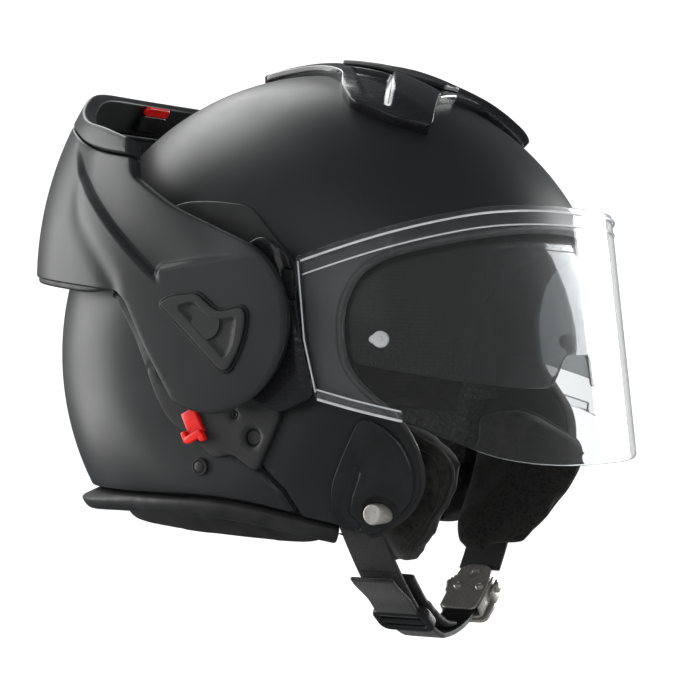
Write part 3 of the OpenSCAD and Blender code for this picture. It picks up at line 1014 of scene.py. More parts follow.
def vent_shutter():
    """The top vent's slider, with two finger ridges."""
    plan = soft([(6, 13, 4), (26, 18, 6), (52, 22, 5), (60, 8, 6)], False)
    plan = np.vstack([plan, (plan * (1, -1))[::-1]])

    def ridges(p, q):
        from_ridge = np.abs(np.abs(p[:, 1]) - 5)
        return 0.5 * (1 - ease(from_ridge, 0.8, 2.0)) * ease(p[:, 0], 30, 40)

    return plan_panel("vent_shutter_skin", (0.2, 0, 1), plan, 8.0, 5.5, 0.8, 1.6, ridges)


def rear_vent():
    """The rear outlet: a hooded lip with louvres below it."""
    chart = Chart(SHELL, (-1, 0, -0.25))
    high, low = SHELL.half_width(np.array([(-131, -33), (-128, -60)], float)) * (0.62, 0.56)
    ring = soft([(high, -33, 8), (-high, -33, 8), (-low, -61, 8), (low, -61, 8)])
    points = np.array([back_of_shell(y, z) for y, z in ring])

    def relief(p, q):
        hood = 1.2 * ease(p[:, 2], -46, -40)
        slots = -2.2 * sum(1 - ease(np.abs(p[:, 2] - z), 0.7, 1.5) for z in (-48, -52, -56)) \
            * (1 - ease(np.abs(p[:, 1]), 34, 38))
        return hood + slots

    loop = resample(chart.flat(points), 1.5)
    return panel("rear_vent_skin", chart, loop, 3.0, -0.8, edge=1.2, step=1.4, relief=relief)


def back_of_shell(y, z):
    across = (abs(y) / SHELL_W) ** SHELL_N
    rho = SHELL_R * (1 - across) ** (1 / SHELL_N)
    return SHELL_AXIS[0] - math.sqrt(max(rho ** 2 - (z - SHELL_AXIS[2]) ** 2, 0)), y, z


# ---------------------------------------------------------------- chin bar

CREASE = [(-93, 86), (-87, 75), (-79, 66), (-63, 50), (-47, 35), (-32, 22), (-22, 11), (-8, -3)]
LOW_CREASE = [(-89, 66), (-86, 54), (-76, 42), (-66, 30), (-56, 16)]
WEDGE = [(-32, 22), (-29.5, 27), (-10, 29.5), (9, 31.4)]


def chin_relief(p, q):
    """The side panel sits in a valley below a long crease; the disc stands up again past the wedge."""
    xz = p[:, [0, 2]]
    behind = beside(xz, np.array(CREASE[::-1], float))
    near_side = ease(np.abs(p[:, 1]), 88, 104)
    drop = -2.7 * ease(-behind, -0.6, 2.0) * (1 - 0.55 * ease(-behind, 4, 34))
    fade = ease(xz[:, 0], -98, -80)
    below = beside(xz, np.array([(-40, 20), (-29.5, 27), (-10, 29.5), (9, 31.4), (40, 35)], float))
    whole = np.maximum(ease(-below, -2.6, 2.2), ease(xz[:, 0], -6, 30))
    valley = drop * fade * near_side * (1 - whole * ease(xz[:, 0], -36, -28))
    low = beside(xz, np.array(LOW_CREASE[::-1], float))
    ends = ease(xz[:, 0], -96, -84) * (1 - ease(xz[:, 0], -58, -50))
    return valley - 1.1 * np.exp(-(low / 5.0) ** 2) * ends * near_side


def chin_panels():
    chart = Chart(CHIN, CHIN_WAY)
    disc = circle((0, 0), DISC_R, 1.0, math.atan2(39.5, 19.5), -math.radians(183.6))
    low = soft(CHIN_LOW, False)
    seam = soft(SEAM, False)
    main = np.vstack([seam[::-1], soft([(-50.2, 82.4, 0)] + DIAGONAL, False)[:-1], disc[1:], low])
    loop = chart.flat(wrap_across(CHIN, main, 1.8))
    extra = np.vstack([near_line(chart, CREASE, 5, 1.0), near_line(chart, WEDGE, 3, 1.0),
                       near_line(chart, LOW_CREASE, 4, 1.6)])
    bar = panel("chin_bar_skin", chart, loop, 0.0, -CHIN_WALL, edge=1.3, step=3.0, relief=chin_relief,
                extra=extra)
    finish(bar, LACQUER, "chin_bar", "chin_bar")
    upper = np.vstack([soft(CHIN_TOP, False), seam + (0, 0.7)])
    loop = chart.flat(wrap_across(CHIN, upper, 1.8))
    trim = panel("chin_bar_upper_skin", chart, loop, 0.2, -CHIN_WALL, edge=1.3, step=2.6)
    return finish(trim, LACQUER, "chin_bar", "chin_bar_trim")


def pivot_cover():
    """The three-armed cover over the pivot with a sunk middle; cover_groove draws the thin line of painted
    shade round it.
    """
    chart = PlaneChart(CHIN_Y)
    loop = resample(soft(COVER), 0.8)
    sunk = resample(soft([(-17, 8, 3), (-7, 10.5, 3), (2, 2.5, 4), (9, 1.5, 4), (17.5, 3, 3), (15.5, -11, 6),
                          (10.5, -17.5, 3), (-3, -5, 8)]), 0.8)

    def relief(p, q):
        d = distance(q, sunk)
        return -1.3 * np.where(inside(q, sunk), ease(d, -0.2, 1.2), 0)

    bands = np.vstack([sunk + unit_loop_normals(sunk) * s for s in (-0.6, 0, 0.6, 1.2, 1.8)])
    return panel("pivot_cover_skin_right", chart, loop, 1.5, 0.1, edge=0.5, step=1.6, relief=relief,
                 extra=bands)


def cover_groove():
    """A narrow dark strip round the pivot cover: painted shade standing in for the shadow in the gap."""
    loop = resample(soft(COVER), 0.8)
    loop = loop if area(loop) > 0 else loop[::-1]
    ring = loop - unit_loop_normals(loop) * 0.7
    line = np.stack([ring[:, 0], np.full(len(ring), -CHIN_Y), ring[:, 1]], 1)
    out = np.tile((0.0, -1.0, 0.0), (len(line), 1))
    return sweep("pivot_cover_gap_right", line, round_profile(1.6, 0.7, 0.2, 2), out, closed=True)


# ---------------------------------------------------------------- visors


def lens_loop():
    side = resample(soft(LENS_EDGE, False), 0.4, closed=False)
    q = LENS.from_side(side)
    start = np.where(q[:, 0] < -0.01)[0]
    first, last = start[0], start[-1]
    q = q[first:last + 1]
    q[0, 0] = q[-1, 0] = 0
    both = np.vstack([q, (q * (-1, 1))[::-1][1:-1]])
    return resample(both, 1.4)


def visor_lens():
    loop = lens_loop()
    face = LENS_WALL / 2
    lens = panel("visor_shield", LENS, loop, face, -face, edge=0.7, step=4.0, arc=3, lip=0.5)
    lens.visible_shadow = False
    return finish(lens, CLEAR, "visor", "visor_lens")


def lens_top_line():
    """The visor's top edge, between its rear corners."""
    loop = lens_loop()
    keep = (loop[:, 1] > 22) & (np.abs(loop[:, 0]) < 168)
    start = np.where(keep & ~np.roll(keep, 1))[0][0]
    return np.roll(loop, -start, 0)[np.roll(keep, -start)]


def visor_lips():
    """The moulded flange along the visor's top edge and the thick ledges at its lower corners. The lip, bead,
    ledge lines and rear edges are in a pale material: painted highlights on the clear lens.
    """
    face = LENS_WALL / 2
    top = lens_top_line()
    # The top lip and bead carry painted highlights: a pale material along the lens's top edge.
    for name, down, out, profile in (("visor_top_lip", 3.0, 0.9, (1.1, 1.2, 0.4, 3)),
                                     ("visor_top_bead", 9.5, 0.25, (0.8, 0.7, 0.25, 3))):
        line = LENS.lift(top - (0, down), face + out)
        strip = sweep(name, line, round_profile(*profile), surface_normals(LENS, top))
        finish(strip, LENS_HIGHLIGHT_PAINT, "visor")
    low = LENS.from_side(resample(np.array([(53.5, -34.0), (70, -38.6), (92, -44.2)]), 1.5, closed=False))
    rear = LENS.from_side(resample(np.array([(43.0, 29), (46.5, -8), (52.5, -33)]), 1.5, closed=False))
    # The ledge itself is clear; its upper and lower lines and the rear edge carry painted highlights in the
    # pale material.
    for name, line, up, out, profile, mat in (
            ("visor_ledge_right", low, 0, 0.6, (4.4, 1.6, 0.6, 4), CLEAR),
            ("visor_ledge_upper_right", low, 2.3, 0.9, (0.9, 1.3, 0.4, 4), LENS_HIGHLIGHT_PAINT),
            ("visor_ledge_lower_right", low, -2.2, 0.9, (1.3, 1.3, 0.4, 4), LENS_HIGHLIGHT_PAINT),
            ("visor_rear_edge_right", rear, 0, 0.3, (0.7, 0.8, 0.25, 3), LENS_HIGHLIGHT_PAINT)):
        raised = LENS.lift(line + (0, up), face + out)
        finish_pair(sweep(name, raised, round_profile(*profile), surface_normals(LENS, line)), mat, "visor")


def slash_shadow():
    """A near-black strip at the bottom of the slanting groove: painted shade that makes the groove read deep.
    """
    line = resample(np.array(SLASH[:-1], float), 1.5, closed=False)
    chart = SideChart(SHELL)
    strip = sweep("panel_joint_right", chart.lift(line, -1.5), round_profile(1.9, 0.8, 0.2, 2),
                  surface_normals(chart, line))
    finish_pair(strip, SHADE_BLACK, "helmet")


outer_shell()
slash_shadow()
face_seal()
rim_trim()
finish_pair(side_plate(), PLASTIC, "helmet", "side_plate_right", "side_plate_left")
finish_pair(latch_pad(), SATIN_PLASTIC, "helmet", "latch_plate_right", "latch_plate_left")
finish(vent_scoop(), GLOSS, "helmet", "vent_scoop")
finish(vent_shutter(), SATIN_PLASTIC, "vent_shutter", "vent_shutter")
finish(rear_vent(), SATIN_PLASTIC, "helmet", "rear_vent")
chin_panels()
finish_pair(pivot_cover(), PLASTIC, "chin_bar", "pivot_cover_right", "pivot_cover_left")
# The dark strips round the pivot covers are painted shade.
finish_pair(cover_groove(), DARK_PLASTIC, "chin_bar")
visor_lens()
visor_lips()


# ---------------------------------------------------------------- sun visor, brackets and small parts


def sun_visor():
    """The tinted inner visor, with a notch for the nose in its lower edge."""
    chart = Chart(SHELL, (1, 0, 0.1))
    loop = wrap_across(SHELL, soft(SUN_EDGE, False), 1.6, -7.5)
    lower = (loop[:, 2] < -20) & (loop[:, 0] > 60)
    loop[:, 2] += np.where(lower, 16 * (1 - ease(np.abs(loop[:, 1]), 11, 26)), 0)
    loop = resample(closed_round(loop), 1.6)
    visor = panel("sun_visor_shield", chart, chart.flat(loop), -6.5, -8.5, edge=0.7, step=4.5, arc=3, lip=0.4)
    return finish(visor, SMOKE, "sun_visor", "sun_visor")


def visor_bracket():
    """The visor's end plate, stepped down towards the lens, with a recess for the catch."""
    chart = PlaneChart(117.4)
    loop = resample(soft(BRACKET), 1.0)
    catch = np.array([(33.8, 12.0), (41.6, 10.6), (41.6, 25.2), (35.6, 26.2)])
    edge = np.array([(46, -34), (42, -10), (37, 12), (30, 36)], float)

    def relief(p, q):
        step = -1.3 * ease(-beside(q, edge), 0.2, 2.0)
        return step + np.where(inside(q, catch), -1.5, 0.0)

    bands = np.vstack([resample(catch + s * (catch - catch.mean(0)) * 0.06, 0.8) for s in (-1, 0.2, 1.2)])
    return panel("visor_bracket_skin_right", chart, loop, 3.2, 0.0, edge=0.7, step=1.5, relief=relief,
                 extra=bands)


def from_bmesh(name, bm):
    mesh = bpy.data.meshes.new(name)
    bm.to_mesh(mesh)
    bm.free()
    mesh.shade_smooth()
    return linked(name, mesh)


def box_piece(name, centre, size, round_mm, turn=(0, 0, 0), segments=3):
    """A block with rounded edges, for small parts."""
    bm = bmesh.new()
    bmesh.ops.create_cube(bm, size=1.0)
    for v in bm.verts:
        v.co = Vector(v.co[k] * size[k] for k in range(3))
    bmesh.ops.bevel(bm, geom=bm.edges, offset=round_mm, segments=segments, affect="EDGES", profile=0.5)
    bmesh.ops.rotate(bm, verts=bm.verts, cent=(0, 0, 0), matrix=Euler(turn).to_matrix())
    for v in bm.verts:
        v.co = (v.co + Vector(centre)) * MM
    return from_bmesh(name, bm)


def joined(name, pieces):
    """Several meshes as one piece."""
    bm = bmesh.new()
    for piece in pieces:
        bm.from_mesh(piece.data)
        old = piece.data
        bpy.data.objects.remove(piece)
        bpy.data.meshes.remove(old)
    return from_bmesh(name, bm)


def lathe(name, profile, centre, axis, turns=40):
    """A turned part: [radius, height] points round an axis through centre."""
    axis = unit(axis)
    e1 = unit(np.cross(axis, (0.31, 0.2, 0.93)))
    e2 = np.cross(axis, e1)
    verts = []
    for r, h in profile:
        for k in range(turns):
            a = 2 * math.pi * k / turns
            verts.append(np.array(centre) + axis * h + (e1 * math.cos(a) + e2 * math.sin(a)) * max(r, 0.001))
    return new_mesh(name, verts, tube_faces(turns, len(profile)))


OUT_RIGHT = (0, -1, 0)


def button_profile(r, low, high, ease_mm, dish=0.0):
    """A pin's end: straight sides, a rounded rim and a slightly dished face."""
    points = [(0, low), (r - 0.2, low), (r, low + 0.2)]
    for k in range(5):
        a = math.pi / 2 * k / 4
        points.append((r - ease_mm * (1 - math.cos(a)), high - ease_mm + ease_mm * math.sin(a)))
    points += [(r * 0.7, high - dish * 0.6), (r * 0.35, high - dish), (0, high - dish)]
    return points


def latch_pins():
    profile = button_profile(5.0, 84, high_mm("latch_pins")[1], 0.7, 0.15)
    pin = lathe("latch_pin_right", profile, (LATCH_AT[0], 0, LATCH_AT[1]), OUT_RIGHT)
    finish_pair(pin, PIN_STEEL, "helmet", "latch_pins")


def insert_pins():
    """The pear-shaped pins that hold the anti-fog insert, one each side of the clear visor."""
    at = LENS.from_side(np.array([PIN_AT], float))
    centre = LENS.lift(at, 0)[0]
    out = surface_normals(LENS, at)[0]
    body = lathe("disc", button_profile(3.9, -3.4, 2.4, 0.5, 0.25), centre, out)
    along = unit(np.cross(out, (0, 0, 1)))
    behind = centre - along * 3.4 * np.sign(along[0])
    tail = lathe("tail", button_profile(1.9, -1.0, 2.2, 0.5), behind, out, 20)
    hub = lathe("hub", button_profile(1.0, 1.9, 2.9, 0.3), centre, out, 16)
    finish_pair(joined("insert_pin_right", [body, tail, hub]), PIN_PLASTIC, "visor", "insert_pins")


def side_plug():
    """A round blanking plug: a rim, a shadow line and a slightly domed middle."""
    profile = [(0, 0.1), (4.3, 0.1), (4.3, 1.0), (4.0, 1.4), (3.5, 1.4), (3.3, 0.9), (3.0, 0.9), (2.8, 1.35),
               (1.5, 1.55), (0, 1.6)]
    plug = lathe("side_plug_right", profile, (PLUG_AT[0], -FLAT_Y, PLUG_AT[1]), OUT_RIGHT)
    finish_pair(plug, PLASTIC, "helmet", "side_plugs")


def plate_screw():
    """A small socket screw sunk in the side plate."""
    profile = [(0, 0), (1.9, 0), (1.9, 1.0), (1.6, 1.3), (0.9, 1.3), (0.8, 0.5), (0, 0.4)]
    screw = lathe("plate_screw_right", profile, (SCREW_AT[0], -(FLAT_Y + 2.0), SCREW_AT[1]), OUT_RIGHT, 24)
    finish_pair(screw, DARK_PLASTIC, "helmet", "plate_screws")


def socket_cup():
    """A near-black matte cup in the accessory socket: painted shade inside the socket hole."""
    base = FLAT_Y + 0.25
    profile = [(0, 0)] + [(SOCKET_R + wider, h) for wider, h in (
        (-0.5, 0), (-0.1, 0.5), (-0.1, 2.0), (0.5, 2.2), (0.9, 1.7), (0.9, 0.2))]
    cup = lathe("socket_cup_right", profile, (SOCKET_AT[0], -base, SOCKET_AT[1]), OUT_RIGHT)
    finish_pair(cup, SHADE_BLACK, "helmet")


def lever():
    """The red slider of the sun visor, with its hooked thumb lip."""
    c, s = math.cos(LEVER_TURN), math.sin(LEVER_TURN)
    y = -(FLAT_Y + 3.2)

    def at(along, up, out):
        return (LEVER_AT[0] + along * c - up * s, y - out, LEVER_AT[1] + along * s + up * c)

    blocks = {"body": ((0.2, 0.6, 0.6), (8.6, 5.2, 13.0), 0.8),
              "lip": ((-1.0, -6.2, 3.4), (10.6, 4.2, 3.6), 0.9),
              "rear_tab": ((-5.6, -4.4, 3.4), (2.6, 3.8, 5.6), 0.7),
              "front_tab": ((3.2, -8.0, 3.4), (3.0, 3.8, 4.2), 0.7)}
    pieces = [box_piece(name, at(*place), size, r, LEVER_EULER) for name, (place, size, r) in blocks.items()]
    return finish(joined("sun_visor_slider", pieces), RED, "sun_visor_lever", "sun_visor_lever")


def lever_track():
    """The dark slot that the red slider runs in."""
    c, s = math.cos(LEVER_TURN), math.sin(LEVER_TURN)
    centre = (LEVER_AT[0] - 6.5 * s, -(FLAT_Y + 0.9), LEVER_AT[1] + 6.5 * c)
    piece = box_piece("slider_track", centre, (9.4, 1.4, 27.0), 0.5, LEVER_EULER)
    return finish(piece, DARK_PLASTIC, "helmet")


def chin_seal():
    """The rubber edge along the chin bar's lower rim, and a small pull at its middle."""
    path = soft([(-60, 22, 0), (-74, 18.5, 12), (-160, 28.5, 10), (-220, 28.5, 0)], False)
    path[:, 1] -= 2.2
    line, normals = open_across(CHIN, CHIN_WAY, path, 2.5, -3.0)
    profile = [(2.4, -1.6), (2.6, 1.2), (1.8, 3.4), (-0.6, 5.4), (-2.2, 5.2), (-2.6, 2.0), (-2.4, -1.6)]
    seal = sweep("chin_bar_edge_seal", line, profile, normals)
    rounded(seal, 2)
    finish(seal, RUBBER, "chin_bar", "chin_bar_seal")
    grip = CHIN.at(unit(np.array([(-160, 0, 23.0)]) - CHIN_CENTRE), -2.0)[0]
    pull = lathe("chin_bar_pull", [(0, -10), (2.4, -9.4), (3.6, -7), (4.0, 0), (3.6, 7), (2.4, 9.4), (0, 10)],
                 grip, (0, 1, 0), 24)
    finish(pull, GLOSS, "chin_bar")


def chin_patch(name, y_half, z_low, z_high, top, bottom, edge, mat, body, node, corner=4, relief=None):
    """A rounded rectangular patch on the back of the chin bar."""
    chart = Chart(CHIN, (-1, 0, 0.3))
    ring = soft([(z, y, corner) for z, y in ((z_low, -y_half), (z_high, -y_half), (z_high, y_half),
                                             (z_low, y_half))])
    points = []
    for z, y in resample(ring, 1.0):
        rho = CHIN.r * (1 - (abs(y) / CHIN.w) ** SIDE_N) ** (1 / SIDE_N)
        points.append((CHIN_CENTRE[0] - math.sqrt(max(rho ** 2 - (z - CHIN_CENTRE[2]) ** 2, 0)), y, z))
    loop = chart.flat(np.array(points))
    piece = panel(name, chart, resample(loop, 1.2), top, bottom, edge, step=1.8, relief=relief)
    return finish(piece, mat, body, node)


# ---------------------------------------------------------------- padding by cloth simulation


CLOTH_FRAMES = 20


def cloth_pad(name, node, mat, voxel, pressure, cap, shrink, smooth=6):
    """A stuffed piece: the CAD solid drawn in a little, remeshed and blown up as cloth.
    No point moves further than cap."""
    obj = linked(name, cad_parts[node].data.copy())
    edit_mesh(obj.data, weld(2e-5), outward)
    remesh = obj.modifiers.new("remesh", "REMESH")
    remesh.mode = "VOXEL"
    remesh.voxel_size = voxel * MM
    soften = obj.modifiers.new("soften", "SMOOTH")
    soften.iterations = smooth
    soften.factor = 0.5
    apply_all(obj)
    mesh = obj.data
    start = np.array([v.co for v in mesh.vertices])
    normals = np.array([v.normal for v in mesh.vertices])
    start = start - normals * shrink * MM
    for v, co in zip(mesh.vertices, start):
        v.co = co
    cloth = obj.modifiers.new("cloth", "CLOTH")
    settings = cloth.settings
    settings.quality = 5
    settings.mass = 0.2
    settings.use_pressure = True
    settings.uniform_pressure_force = pressure
    settings.tension_stiffness = settings.compression_stiffness = 12
    settings.shear_stiffness = 6
    settings.bending_stiffness = 0.8
    settings.effector_weights.gravity = 0
    cloth.point_cache.frame_start, cloth.point_cache.frame_end = 1, CLOTH_FRAMES
    scene = bpy.context.scene
    for k in range(1, CLOTH_FRAMES + 1):
        scene.frame_set(k)
    done = obj.evaluated_get(bpy.context.evaluated_depsgraph_get()).to_mesh()
    moved = np.array([v.co for v in done.vertices]) - start
    obj.modifiers.remove(cloth)
    scene.frame_set(1)
    length = np.linalg.norm(moved, axis=1, keepdims=True)
    moved = moved / np.maximum(length, 1e-9) * np.minimum(length, cap * MM)
    for v, co in zip(mesh.vertices, start + moved):
        v.co = co
    mesh.shade_smooth()
    rounded(obj, 1)
    apply_all(obj)
    finish(obj, mat, "helmet", node)
    return obj


def apply_all(obj):
    dg = bpy.context.evaluated_depsgraph_get()
    dg.update()
    mesh = bpy.data.meshes.new_from_object(obj.evaluated_get(dg))
    obj.modifiers.clear()
    obj.data = mesh


def seam(name, pad, line, r, mat):
    """A sewn cord laid on a padded piece along a nearby line."""
    mesh = pad.data
    tree = BVHTree.FromPolygons([v.co for v in mesh.vertices], [p.vertices[:] for p in mesh.polygons])
    found = [tree.find_nearest(Vector(p) * MM) for p in line]
    place = np.array([tuple(f[0]) for f in found]) / MM
    normals = np.array([tuple(f[1]) for f in found])
    for _ in range(6):
        place[1:-1] = (place[:-2] + 2 * place[1:-1] + place[2:]) / 4
        normals[1:-1] = (normals[:-2] + 2 * normals[1:-1] + normals[2:]) / 4
    ring = [(r * math.cos(math.pi / 4 * k), r * math.sin(math.pi / 4 * k)) for k in range(8)]
    return finish(sweep(name, place + unit(normals) * r * 0.3, ring, normals), mat, "helmet")


PIPING = [(66, -47, 8), (92, -57, 10), (107, -68, 10), (109, -84, 10), (100, -109, 12), (84, -122, 8)]
ROLL_SEAM = [(-120, -88), (-60, -95), (-10, -97), (28, -99)]


def seams(pads, roll):
    """Piping along the front of each cheek pad, sewing behind it, and one seam each side of the neck roll."""
    path = resample(soft(PIPING, False), 2.0, closed=False)
    lower = resample(np.array(ROLL_SEAM, float), 2.0, closed=False)
    for pad, side, label in zip(pads, (1, -1), ("right", "left")):
        for row, back, out, r in (("piping", 0, 78, 0.9), ("sewing", 7, 86, 0.4)):
            line = np.stack([path[:, 0] - back, np.full(len(path), -side * float(out)), path[:, 1]], 1)
            seam("cheek_%s_%s" % (row, label), pad, line, r, LEATHERETTE)
        line = np.stack([lower[:, 0], -side * SHELL.half_width(lower, -10), lower[:, 1]], 1)
        seam("neck_roll_seam_" + label, roll, line, 0.6, LEATHERETTE)


# ---------------------------------------------------------------- chin strap

STRAP_X = 50.0
STRAP_W = 24.0
STRAP_T = 2.4
STRAP_HALF = 96.0
STRAP_RISE = 98.0
STRAP_LOW = -160.0
RIGHT_FALL = 1.6
LEFT_FALL = 2.4
ADJUSTER_Y = -26.0
BUCKLE_Y = 44.0


def hang(y, out=0.0):
    """Points of the hanging strap, moved out across its thickness (inwards is positive)."""
    y = np.atleast_1d(np.asarray(y, float))
    fall = np.where(y < 0, RIGHT_FALL, LEFT_FALL)
    z = STRAP_LOW + STRAP_RISE * (np.abs(y) / STRAP_HALF) ** fall
    slope = STRAP_RISE * fall / STRAP_HALF * (np.abs(y) / STRAP_HALF) ** (fall - 1) * np.sign(y)
    normal = unit(np.stack([-slope, np.ones_like(slope)], 1))
    return np.stack([np.full(len(y), STRAP_X), y + normal[:, 0] * out, z + normal[:, 1] * out], 1), \
        np.stack([np.zeros(len(y)), normal[:, 0], normal[:, 1]], 1)


def strap_piece(name, low, high, node):
    y = np.linspace(low, high, max(8, int(abs(high - low) / 1.5)))
    line, normals = hang(y)
    piece = sweep(name, line, round_profile(STRAP_W, STRAP_T, STRAP_T * 0.42, 4), normals)
    return finish(piece, WEBBING, "helmet", node)


def strap_tail():
    """The strap's loose end, folded back outside the slider and curling away from it."""
    y = np.linspace(-30, -54, 24)
    away = -2.7 - 5.5 * ease(-y, 38, 56)
    line, normals = hang(y)
    line = line + normals * away[:, None]
    piece = sweep("strap_tail", line, round_profile(STRAP_W, 2.0, 0.8, 4), normals)
    return finish(piece, WEBBING, "helmet")


def strap_stitches():
    """Two rows of bar-tack stitching across the strap, above the slider."""
    pieces = []
    for y in (-50, -53):
        for x in np.arange(-9.5, 9.6, 1.9):
            base = hang(y, -STRAP_T / 2 - 0.1)[0]
            pieces.append(box_piece("stitch", base[0] + (x, 0, 0), (1.3, 0.5, 0.4), 0.15, (0, 0, 0), 1))
    return finish(joined("strap_bar_tacks", pieces), LEATHERETTE, "helmet")


def local_frame(y):
    base, normal = hang(y)
    ahead = unit(hang(y + 0.5)[0] - hang(y - 0.5)[0])[0]
    return base[0], np.array((1.0, 0, 0)), ahead, normal[0]


def put(frame_at, x, y, z):
    base, ex, ey, ez = frame_at
    return base + ex * x + ey * y + ez * z


def slider():
    """The slider buckle: a rounded frame with a bar across it that the webbing passes round."""
    at = local_frame(ADJUSTER_Y)
    ring = soft([(-13.6, -7, 4), (13.6, -7, 4), (13.6, 7, 4), (-13.6, 7, 4)])
    ring = resample(ring, 1.2)
    line = np.array([put(at, x, y, -0.6) for x, y in ring])
    normals = np.tile(at[3], (len(line), 1))
    frame_piece = sweep("frame", line, round_profile(4.2, 6.4, 1.6, 4), normals, closed=True)
    bar_line = np.array([put(at, x, 0.5, -2.2) for x in np.linspace(-13, 13, 12)])
    bar = sweep("bar", bar_line, round_profile(4.0, 2.6, 1.0, 3), np.tile(at[3], (12, 1)))
    return finish(joined("slider_buckle", [frame_piece, bar]), DARK_PLASTIC, "helmet", "strap_adjuster")


def buckle_plate(name, outline, z, thick, bend=0.0, hole=None):
    """A stamped plate drawn in the buckle's own frame, x across and y along the strap: a raised middle,
    or a hollow at hole, which is x, y and radius."""
    at = local_frame(BUCKLE_Y)

    class Plate:
        def lift(self, q, h=0.0):
            h = np.broadcast_to(h, len(q))
            return np.array([put(at, x, y, z + bend * (y * y) / 400 + k) for (x, y), k in zip(q, h)])

    def relief(p, q):
        if hole is None:
            return 0.45 * ease(distance(q, loop), 2.6, 1.4)
        d = np.hypot(q[:, 0] - hole[0], q[:, 1] - hole[1])
        return -(thick - 0.15) * (1 - ease(d, hole[2] - 0.4, hole[2] + 0.2))

    loop = resample(soft(outline), 1.0)
    if area(loop) < 0:
        loop = loop[::-1]
    spots = None
    if hole is not None:
        spots = np.vstack([circle(hole[:2], hole[2] + e, 0.7) for e in (-0.9, -0.3, 0.3, 0.9)])
    return panel(name, Plate(), loop, thick, 0.0, edge=0.45, step=1.6, relief=relief, extra=spots,
                 arc=3, lip=0.15)


def ratchet():
    """The ratchet buckle: a steel base with turned-up sides and rivets, and a lever hinged on a pin."""
    at = local_frame(BUCKLE_Y)
    turn = (buckle_turn(), 0, 0)
    outline = [(-10, -12, 3), (10, -12, 3), (11, 4, 4), (9, 20, 6), (-9, 20, 6), (-11, 4, 4)]
    base = buckle_plate("base", outline, 3.0, 1.2, 0.9, (0, 13.5, 2.6))
    under = buckle_plate("under", [(-11, -11, 3), (11, -11, 3), (11, 13, 3), (-11, 13, 3)], -3.9, 1.0)
    walls = [box_piece("wall", put(at, x, 1.5, 0.0), (1.4, 23, 7.2), 0.5, turn) for x in (-11, 11)]
    head = button_profile(2.2, 3.8, 5.4, 0.8)
    rivets = [lathe("rivet", head, put(at, x, 4.5, 0), at[3], 24) for x in (-6.5, 6.5)]
    body = joined("ratchet_base", [base, under] + walls + rivets)
    finish(body, STEEL, "helmet", "ratchet_body")
    outline = [(-13, -11, 4), (13, -11, 4), (14, 2, 4), (12, 7.5, 4), (-12, 7.5, 4), (-14, 2, 4)]
    grip = buckle_plate("grip", outline, -7.2, 1.4, -0.5)
    ears = [box_piece("ear", put(at, x, 7.4, -1.9), (1.6, 10.0, 8.6), 0.5, turn) for x in (-13.2, 13.2)]
    lever_piece = joined("ratchet_lever_plate", [grip] + ears)
    finish(lever_piece, STEEL, "ratchet_lever", "ratchet_lever")
    end = [(1.5, 14.2), (2.9, 14.3), (2.9, 14.8), (2.6, 15.2), (0, 15.2)]
    profile = [(r, -h) for r, h in end[::-1]] + end
    pin = lathe("ratchet_hinge_pin", profile, put(at, 0, 9, -0.2), (1, 0, 0), 24)
    finish(pin, STEEL, "helmet", "ratchet_pin")


def buckle_turn():
    _, _, ahead, _ = local_frame(BUCKLE_Y)
    return math.atan2(ahead[2], ahead[1])


def tongue():
    """The toothed plastic tongue that the ratchet grips."""
    y = np.linspace(-3.8, 40, 220)
    line, normals = hang(y)
    saw = np.where((y > 8) & (y < 38), (y * 0.55) % 1.0, 0.0) * 0.9
    half = STRAP_T / 2
    verts = []
    for (o, s) in ((-half, -9.0), (half, -9.0), (half, -7.2), (half, 7.2), (half, 9.0), (-half, 9.0)):
        up = o + (saw if abs(s) < 8 else 0)
        verts.append(line + normals * np.broadcast_to(up, len(y))[:, None] + np.array((1.0, 0, 0)) * s)
    verts = np.stack(verts, 1).reshape(-1, 3)
    faces = tube_faces(6, len(y)) + end_faces(6, len(y))
    piece = new_mesh("ratchet_toothed_tongue", verts, faces, smooth=False)
    return finish(piece, DARK_PLASTIC, "helmet", "ratchet_tongue")


sun_visor()
finish_pair(visor_bracket(), GLOSS, "visor", "visor_bracket_right", "visor_bracket_left")
latch_pins()
insert_pins()
side_plug()
plate_screw()
socket_cup()
lever()
lever_track()
chin_seal()
INNER = -CHIN_WALL - 0.3
chin_patch("chin_vent_slider_skin", 19, 38, 49, 3.0, 0.3, 0.8, PLASTIC, "chin_vent", "chin_vent_slider", 3,
           lambda p, q: -0.9 * (np.sin(p[:, 1] * 1.1) > 0.2) * (1 - ease(np.abs(p[:, 1]), 13, 15)))
chin_patch("chin_lining_patch", 43, 62, 106, INNER, INNER - 1.2, 0.5, KNIT, "chin_bar", "chin_bar_lining", 6)
chin_patch("release_button_body", 12, 112, 120.5, INNER, INNER - 2.1, 0.6, DARK_PLASTIC, "release_button",
           "chin_release_button", 2)
chin_patch("release_button_cap", 11, 120.5, 125, INNER, INNER - 2.3, 0.6, RED, "release_button",
           "chin_release_button", 1.5)
cheeks = [cloth_pad("cheek_pad_soft_" + side, "cheek_pad_" + side, SUEDE,
                    voxel=4.5, pressure=4.0, cap=4.5, shrink=1.6) for side in ("right", "left")]
roll = cloth_pad("neck_roll_soft", "neck_roll", LEATHERETTE,
                 voxel=4.5, pressure=4.0, cap=4.0, shrink=1.6)
cloth_pad("crown_lining_soft", "crown_lining", KNIT, voxel=5.0, pressure=3.0, cap=3.0, shrink=0.8)
cloth_pad("strap_sleeve", "strap_pad", LEATHERETTE,
          voxel=2.0, pressure=4.0, cap=2.0, shrink=0.3, smooth=3)
seams(cheeks, roll)
strap_piece("strap_webbing_right", -STRAP_HALF, -4, "strap_right")
strap_piece("strap_webbing_left", 58, STRAP_HALF, "strap_left")
strap_tail()
strap_stitches()
slider()
ratchet()
tongue()

